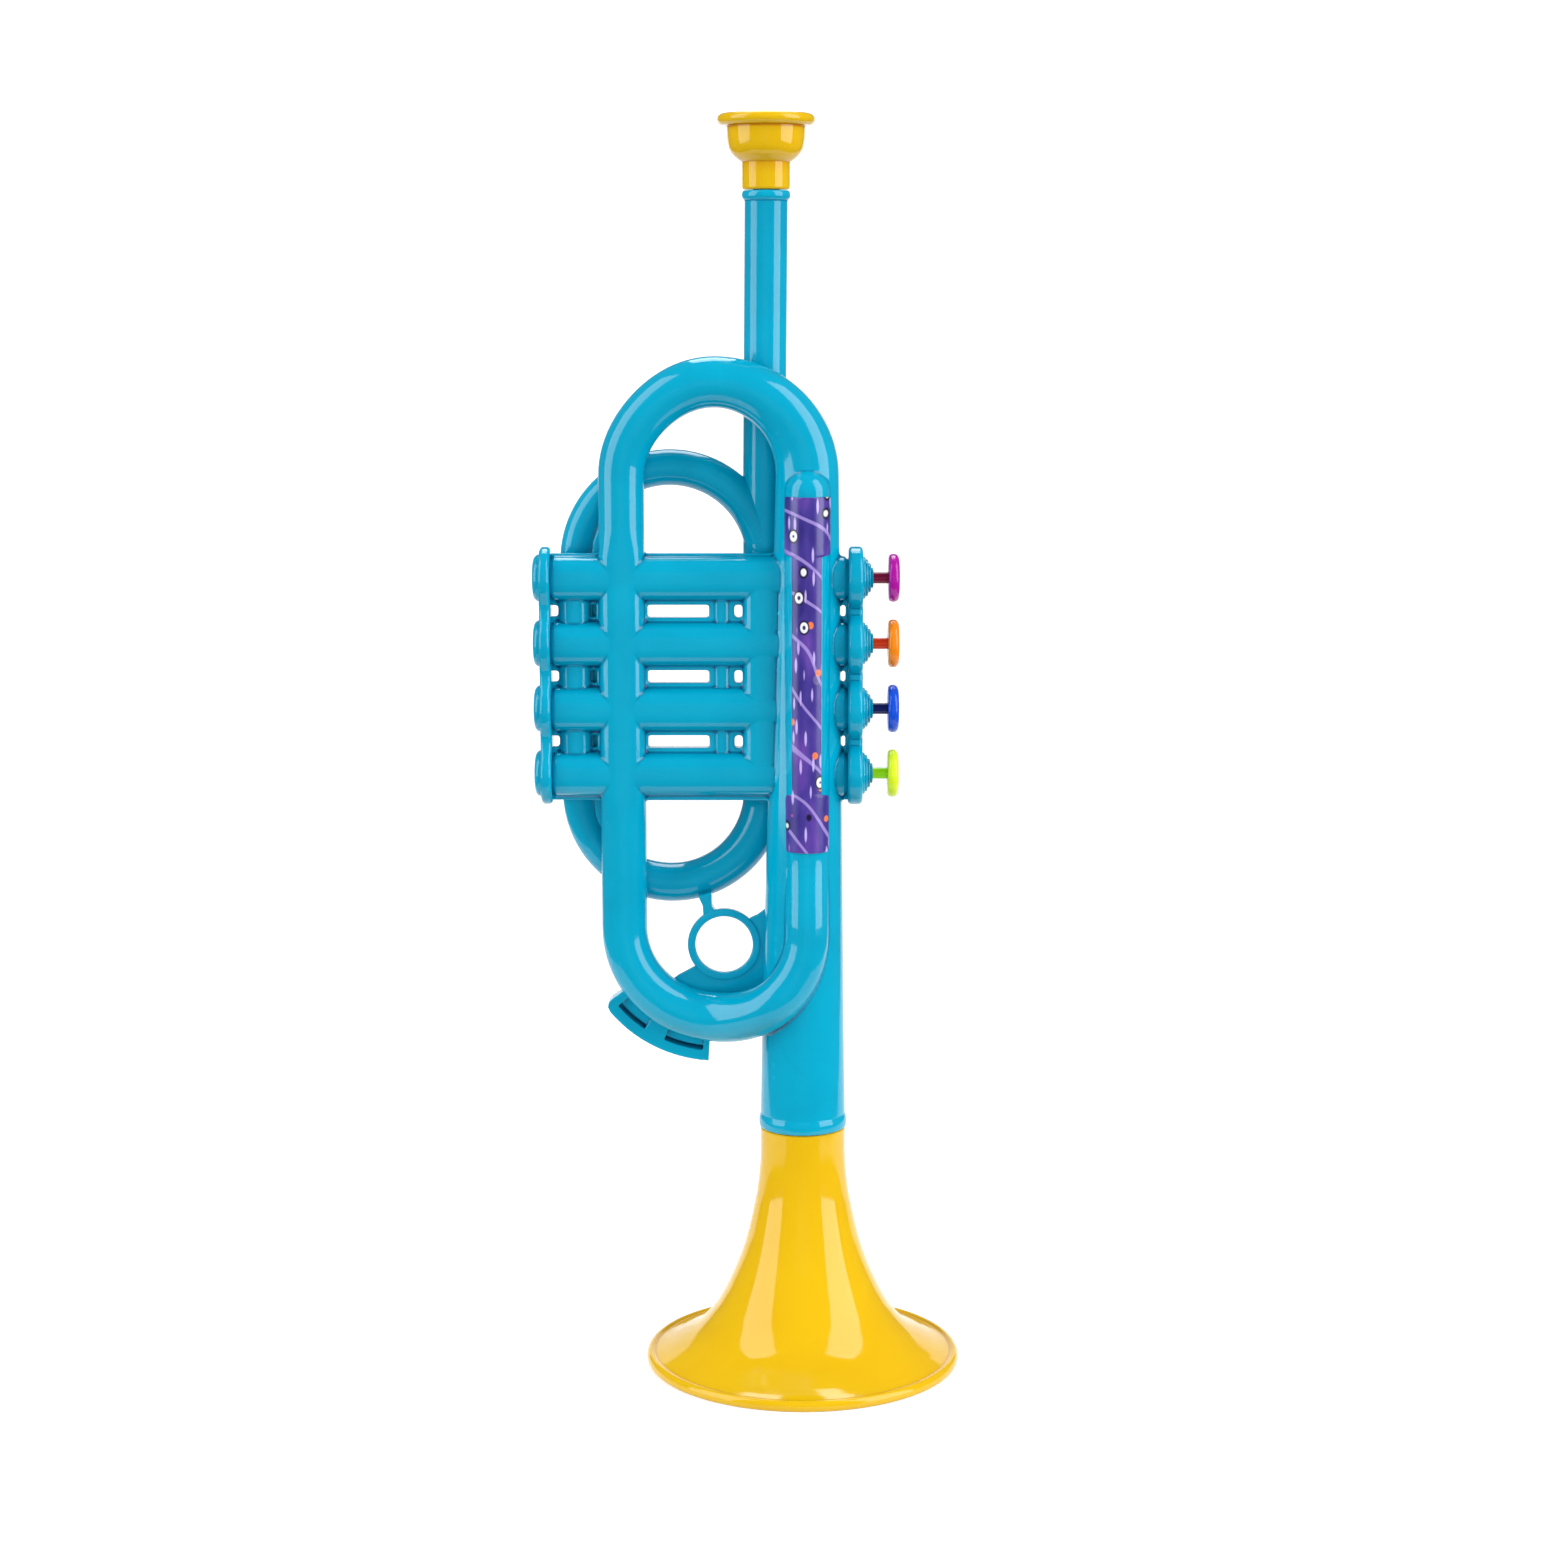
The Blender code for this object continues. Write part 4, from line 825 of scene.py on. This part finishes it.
# Label
# A strip of printed film, glued round the front arm: wide at both ends and narrow between. Its
# print is a plain pattern of streamers, dashes, dots and rings on a violet ground.
film_r, film_thick = front_arm_r + 0.0003, 0.00012
film_low, film_high, film_end, corner_r = 0.1792, 0.2966, 0.0190, 0.0016
low_end_turn, high_end_turn = math.radians(70.0), math.radians(80.0)
waist_left, waist_right = math.asin(0.0050 / film_r), math.asin(0.0045 / film_r)
rows, columns = 236, 40
film = bmesh.new()
grid = []
for n in range(rows + 1):
    z = film_low + (film_high - film_low) * n / rows
    from_end = min(z - film_low, film_high - z)
    end_turn = low_end_turn if n < rows / 2 else high_end_turn
    left_turn, right_turn = (end_turn, end_turn) if from_end <= film_end else (waist_left, waist_right)
    corner = 0.0
    if from_end < corner_r:
        corner = (corner_r - math.sqrt(corner_r**2 - (corner_r - from_end) ** 2)) / film_r
    elif film_end - corner_r < from_end <= film_end:
        over = from_end - film_end + corner_r
        corner = (corner_r - math.sqrt(max(corner_r**2 - over**2, 0.0))) / film_r
    row = []
    for k in range(columns + 1):
        turn = (corner - left_turn) + (left_turn + right_turn - 2 * corner) * k / columns
        x, y = film_r * math.sin(turn), front_arm_y - film_r * math.cos(turn)
        row.append(film.verts.new(at(tube_x + x, y, z)))
    grid.append(row)
for near, far in zip(grid, grid[1:]):
    for k in range(columns):
        film.faces.new((near[k], near[k + 1], far[k + 1], far[k]))

print_film, print_tree, print_shader = new_material("printed_film")
film_place = add(print_tree, "TexCoord").outputs["Object"]


def mapped(scale, turn, shift=(0.0, 0.0, 0.0)):
    """The film's own coordinates, stretched and turned for one layer of the print."""
    turned = (0.0, turn, 0.0)
    layer = add(print_tree, "Mapping", Vector=film_place, Scale=scale, Rotation=turned, Location=shift)
    return layer.outputs["Vector"]


def band(value, low, high, top=1.0):
    """A mask that falls from top to nothing as the value rises from low to high."""
    mask = add(print_tree, "MapRange", Value=value, From_Min=low, From_Max=high, To_Min=top, To_Max=0.0)
    return mask.outputs["Result"]


def times(first, second):
    """Where both masks show."""
    return worked_out(print_tree, "MULTIPLY", first, second)


def inked(under, mask, colour):
    """Another ink printed over what lies under it."""
    return add(print_tree, "Mix", A=under, Factor=mask, B=colour).outputs["Result"]


def shaded(value, stops, interpolation="LINEAR"):
    """A colour for each value, from (value, colour) stops."""
    made = add(print_tree, "ValToRGB", Fac=value)
    made.color_ramp.interpolation = interpolation
    elements = made.color_ramp.elements
    for end, (position, colour) in zip(elements, (stops[0], stops[-1])):
        end.position = position
        end.color = (*colour, 1.0)
    for position, colour in stops[1:-1]:
        elements.new(position).color = (*colour, 1.0)
    return made.outputs["Color"]


def scattered(scale, turn, shift):
    """Cells scattered over the film: how far from each cell's middle, and two values for each cell."""
    cells = add(print_tree, "TexVoronoi", Vector=mapped(scale, turn, shift), Scale=1.0, Randomness=0.85)
    split = add(print_tree, "SeparateColor", Color=cells.outputs["Color"])
    return cells.outputs["Distance"], split.outputs["Red"], split.outputs["Green"]


clouds = add(print_tree, "TexNoise", Vector=mapped((150.0, 150.0, 55.0), 0.3), Scale=1.0, Detail=3.0)
ground = [(0.30, (0.026, 0.015, 0.200)), (0.50, (0.055, 0.032, 0.290)), (0.72, (0.150, 0.055, 0.400))]
ink = shaded(clouds.outputs["Fac"], ground)
streamers = add(
    print_tree, "TexWave", Vector=mapped((34.0, 34.0, 26.0), 0.9), Scale=1.0, Distortion=7.0,
    Detail=1.0, Detail_Scale=0.8,
)
ink = inked(ink, band(streamers.outputs["Fac"], 0.012, 0.030, 0.75), (0.42, 0.30, 0.74))
dash, dash_pick, _ = scattered((620.0, 60.0, 105.0), 0.65, (0.3, 0.0, 0.2))
ink = inked(ink, times(band(dash, 0.20, 0.30), band(dash_pick, 0.62, 0.64)), (0.55, 0.42, 0.86))
dot, dot_pick, dot_hue = scattered((190.0, 60.0, 150.0), 0.2, (0.7, 0.0, 0.5))
dot_inks = [(0.0, (0.90, 0.20, 0.06)), (0.33, (0.80, 0.09, 0.42)), (0.66, (0.93, 0.62, 0.04))]
dot_ink = shaded(dot_hue, dot_inks, "CONSTANT")
ink = inked(ink, times(band(dot, 0.16, 0.20), band(dot_pick, 0.34, 0.36)), dot_ink)
ring, ring_pick, _ = scattered((165.0, 60.0, 120.0), -0.4, (0.1, 0.0, 0.9))
chosen = band(ring_pick, 0.52, 0.54)
for inner, outer, colour in (
    (0.27, 0.31, (0.006, 0.004, 0.030)), (0.20, 0.23, (0.86, 0.86, 0.90)),
    (0.07, 0.10, (0.020, 0.010, 0.120)),
):
    ink = inked(ink, times(band(ring, inner, outer), chosen), colour)
rubbing = add(print_tree, "TexNoise", Vector=film_place, Scale=260.0).outputs["Fac"]
dull = add(print_tree, "MapRange", Value=rubbing, To_Min=0.26, To_Max=0.38)
wrinkle = add(print_tree, "Bump", Strength=0.06, Distance=0.0002, Height=rubbing)
fill(
    print_tree, print_shader, Base_Color=ink, Roughness=dull.outputs["Result"],
    Normal=wrinkle.outputs["Normal"], Specular_IOR_Level=0.5, Coat_Weight=0.25, Coat_Roughness=0.12,
)
label = put("wrapped_label", film, print_film, "horn", "label_film", "label")
thickness = label.modifiers.new("Film", "SOLIDIFY")
thickness.thickness = film_thick
thickness.offset = -1.0

# Keys
# Each key is a thick round button on a thinner rod of a darker shade, pushed in against a spring.
# Inside its casing the rod carries a flange and a rubber pad that shuts the key's reed cell.
button_x, rod_r, rod_head, rod_round = 0.0281, 0.0019, 0.0019, 0.0003
flange_r, flange_thick = 0.0042, 0.0015
button_socket = [(0.0021, 0.0022), (0.0021, 0.0006)]
button_outline = [
    (0.0024, 0.0004), (0.0045, 0.00025), (0.0062, 0.0), (0.0070, 0.00005), (0.0076, 0.0004),
    (0.00793, 0.0011), (0.0080, 0.0018), (0.00785, 0.0026), (0.0074, 0.0032), (0.0066, 0.0036),
    (0.0050, 0.0038), (0.0026, 0.00388), (0.0, 0.0039),
]
# Columns: hue, button colour, its deep tone for flow marks and painted crease shade, its rubbed-edge tone,
# rod colour.
key_colours = [
    ("lime", (0.715, 0.900, 0.024), (0.42, 0.66, 0.006), (0.90, 0.98, 0.25), (0.400, 0.900, 0.006)),
    ("blue", (0.005, 0.080, 0.670), (0.002, 0.020, 0.320), (0.10, 0.30, 0.90), (0.0020, 0.0100, 0.130)),
    ("orange", (0.905, 0.255, 0.006), (0.65, 0.10, 0.002), (0.97, 0.46, 0.08), (0.920, 0.050, 0.006)),
    ("magenta", (0.430, 0.006, 0.345), (0.20, 0.002, 0.17), (0.72, 0.12, 0.60), (0.290, 0.005, 0.055)),
]
for number, z in enumerate(casing_zs, start=1):
    hue, colour, deep, pale, rod_colour = key_colours[number - 1]
    place = Matrix.Translation(at(button_x, 0, z)) @ to_right
    finish = moulded_plastic(f"{hue}_plastic", colour, deep, pale, 0.14)
    button = bmesh.new()
    add_turned(button, button_socket + flowing(button_outline, 5), place, 96)
    put(f"turned_button_{number}", button, finish, f"key_{number}", f"{hue}_button", f"key_button_{number}")
    rod_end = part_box(f"key_rod_{number}")[0].x - at(button_x, 0, 0).x
    flange_top = rod_end + flange_thick
    rod_profile = [
        (0.0, rod_head), (rod_r - rod_round, rod_head), (rod_r, rod_head - rod_round),
        (rod_r, flange_top), (flange_r, flange_top), (flange_r, rod_end), (0.0, rod_end),
    ]
    # The rod's darker tone feeds both its flow marks and its painted crease shade; the lighter one feeds its
    # rubbed edges.
    darker = tuple(0.35 * part for part in rod_colour)
    lighter = tuple(min(1.0, 0.04 + 1.4 * part) for part in rod_colour)
    finish = moulded_plastic(f"{hue}_rod_plastic", rod_colour, darker, lighter, 0.20)
    rod = bmesh.new()
    add_turned(rod, rod_profile, place, 40)
    put(f"turned_rod_{number}", rod, finish, f"key_{number}", f"{hue}_rod", f"key_rod_{number}")

# Pads, springs, reed cells and reeds
# These sit inside the casings: a rubber washer on the rod, a coil of steel wire, a cream plastic
# cell and a brass reed for each key. All but the coils are the imported solids with finer finishes.
# A coil stands on the horn.
coil_r, wire_r, coil_turns, per_turn, key_travel = 0.0036, 0.00035, 6, 24, 0.0040


def grained(name, first, second, roughness, metallic, scale, depth):
    """A plain stock material: two close colours in a fine grain, with a bump to match."""
    made, tree, shader = new_material(name)
    place = add(tree, "TexCoord").outputs["Object"]
    stretch = add(tree, "Mapping", Vector=place, Scale=scale)
    grain = add(tree, "TexNoise", Vector=stretch.outputs["Vector"], Scale=1.0, Detail=6.0).outputs["Fac"]
    shade = add(tree, "Mix", Factor=grain, A=first, B=second)
    gloss = add(tree, "MapRange", Value=grain, To_Min=roughness - 0.08, To_Max=roughness + 0.10)
    relief = add(tree, "Bump", Strength=depth, Distance=0.0002, Height=grain)
    fill(
        tree, shader, Base_Color=shade.outputs["Result"], Roughness=gloss.outputs["Result"],
        Normal=relief.outputs["Normal"], Metallic=metallic,
    )
    return made


rubber = grained(
    "washer_rubber", (0.018, 0.018, 0.019), (0.045, 0.044, 0.043), 0.75, 0.0, (900, 900, 900), 0.4
)
wire = grained("spring_steel", (0.52, 0.52, 0.54), (0.68, 0.68, 0.69), 0.26, 1.0, (1400, 1400, 1400), 0.1)
cream = grained("cell_plastic", (0.66, 0.61, 0.49), (0.76, 0.72, 0.60), 0.45, 0.0, (420, 420, 420), 0.15)
brass = grained("reed_brass", (0.70, 0.47, 0.16), (0.80, 0.60, 0.27), 0.30, 1.0, (3000, 500, 500), 0.15)
for number, z in enumerate(casing_zs, start=1):
    for node, finish in (("key_pad", rubber), ("reed_cell", cream), ("reed", brass)):
        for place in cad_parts[f"{node}_{number}"].material_slots:
            place.material = finish
    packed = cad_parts[f"key_spring_{number}"]
    reach = [(packed.matrix_world @ Vector(corner)).x for corner in packed.bound_box]
    left, right = min(reach), max(reach)
    coil_points = []
    for n in range(coil_turns * per_turn + 1):
        turn = 2 * math.pi * n / per_turn
        x = left + wire_r + (right - left - 2 * wire_r) * n / (coil_turns * per_turn)
        coil_points.append((Vector((x, coil_r * math.cos(turn), z + coil_r * math.sin(turn))), wire_r))
    coil = bmesh.new()
    add_tube(coil, coil_points, sides=10, across=Vector((1.0, 0.0, 0.0)))
    spring = put(f"coil_spring_{number}", coil, wire, "horn", "steel", f"key_spring_{number}")
    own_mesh(spring)

# Screws
# Three small steel screws with round heads and cross slots hold the shells together. They go into
# the bosses on the rear shell.
screw_steel = grained(
    "screw_steel", (0.46, 0.46, 0.47), (0.62, 0.62, 0.63), 0.30, 1.0, (700, 2600, 700), 0.2
)
head_y = boss_back + 0.0003
shank_r, point_r, shank_low, point_low = 0.0010, 0.0004, -0.0076, -0.0080
slot_long, slot_thin, slot_floor, slot_open = 0.0013, 0.00027, 0.0006, 0.0030
screw_profile = [
    (0.0, 0.0014), (0.0008, 0.00138), (0.0015, 0.00122), (0.0020, 0.00088), (0.0023, 0.0004), (0.0024, 0.0),
    (shank_r, 0.0), (shank_r, shank_low), (point_r, point_low), (0.0, point_low),
]
for number, z in enumerate(row_zs, start=1):
    screw = bmesh.new()
    add_turned(screw, screw_profile, Matrix.Translation(at(post_x, head_y, z)) @ to_rear, 64)
    for half_x, half_z in ((slot_long, slot_thin), (slot_thin, slot_long)):
        cut = bmesh.new()
        left, right = post_x - half_x, post_x + half_x
        add_block(cut, left, right, head_y + slot_floor, head_y + slot_open, z - half_z, z + half_z)
        screw = carved(screw, cut)
    put(f"cross_screw_{number}", screw, screw_steel, "horn", "steel", f"screw_{number}", crease=0.5)
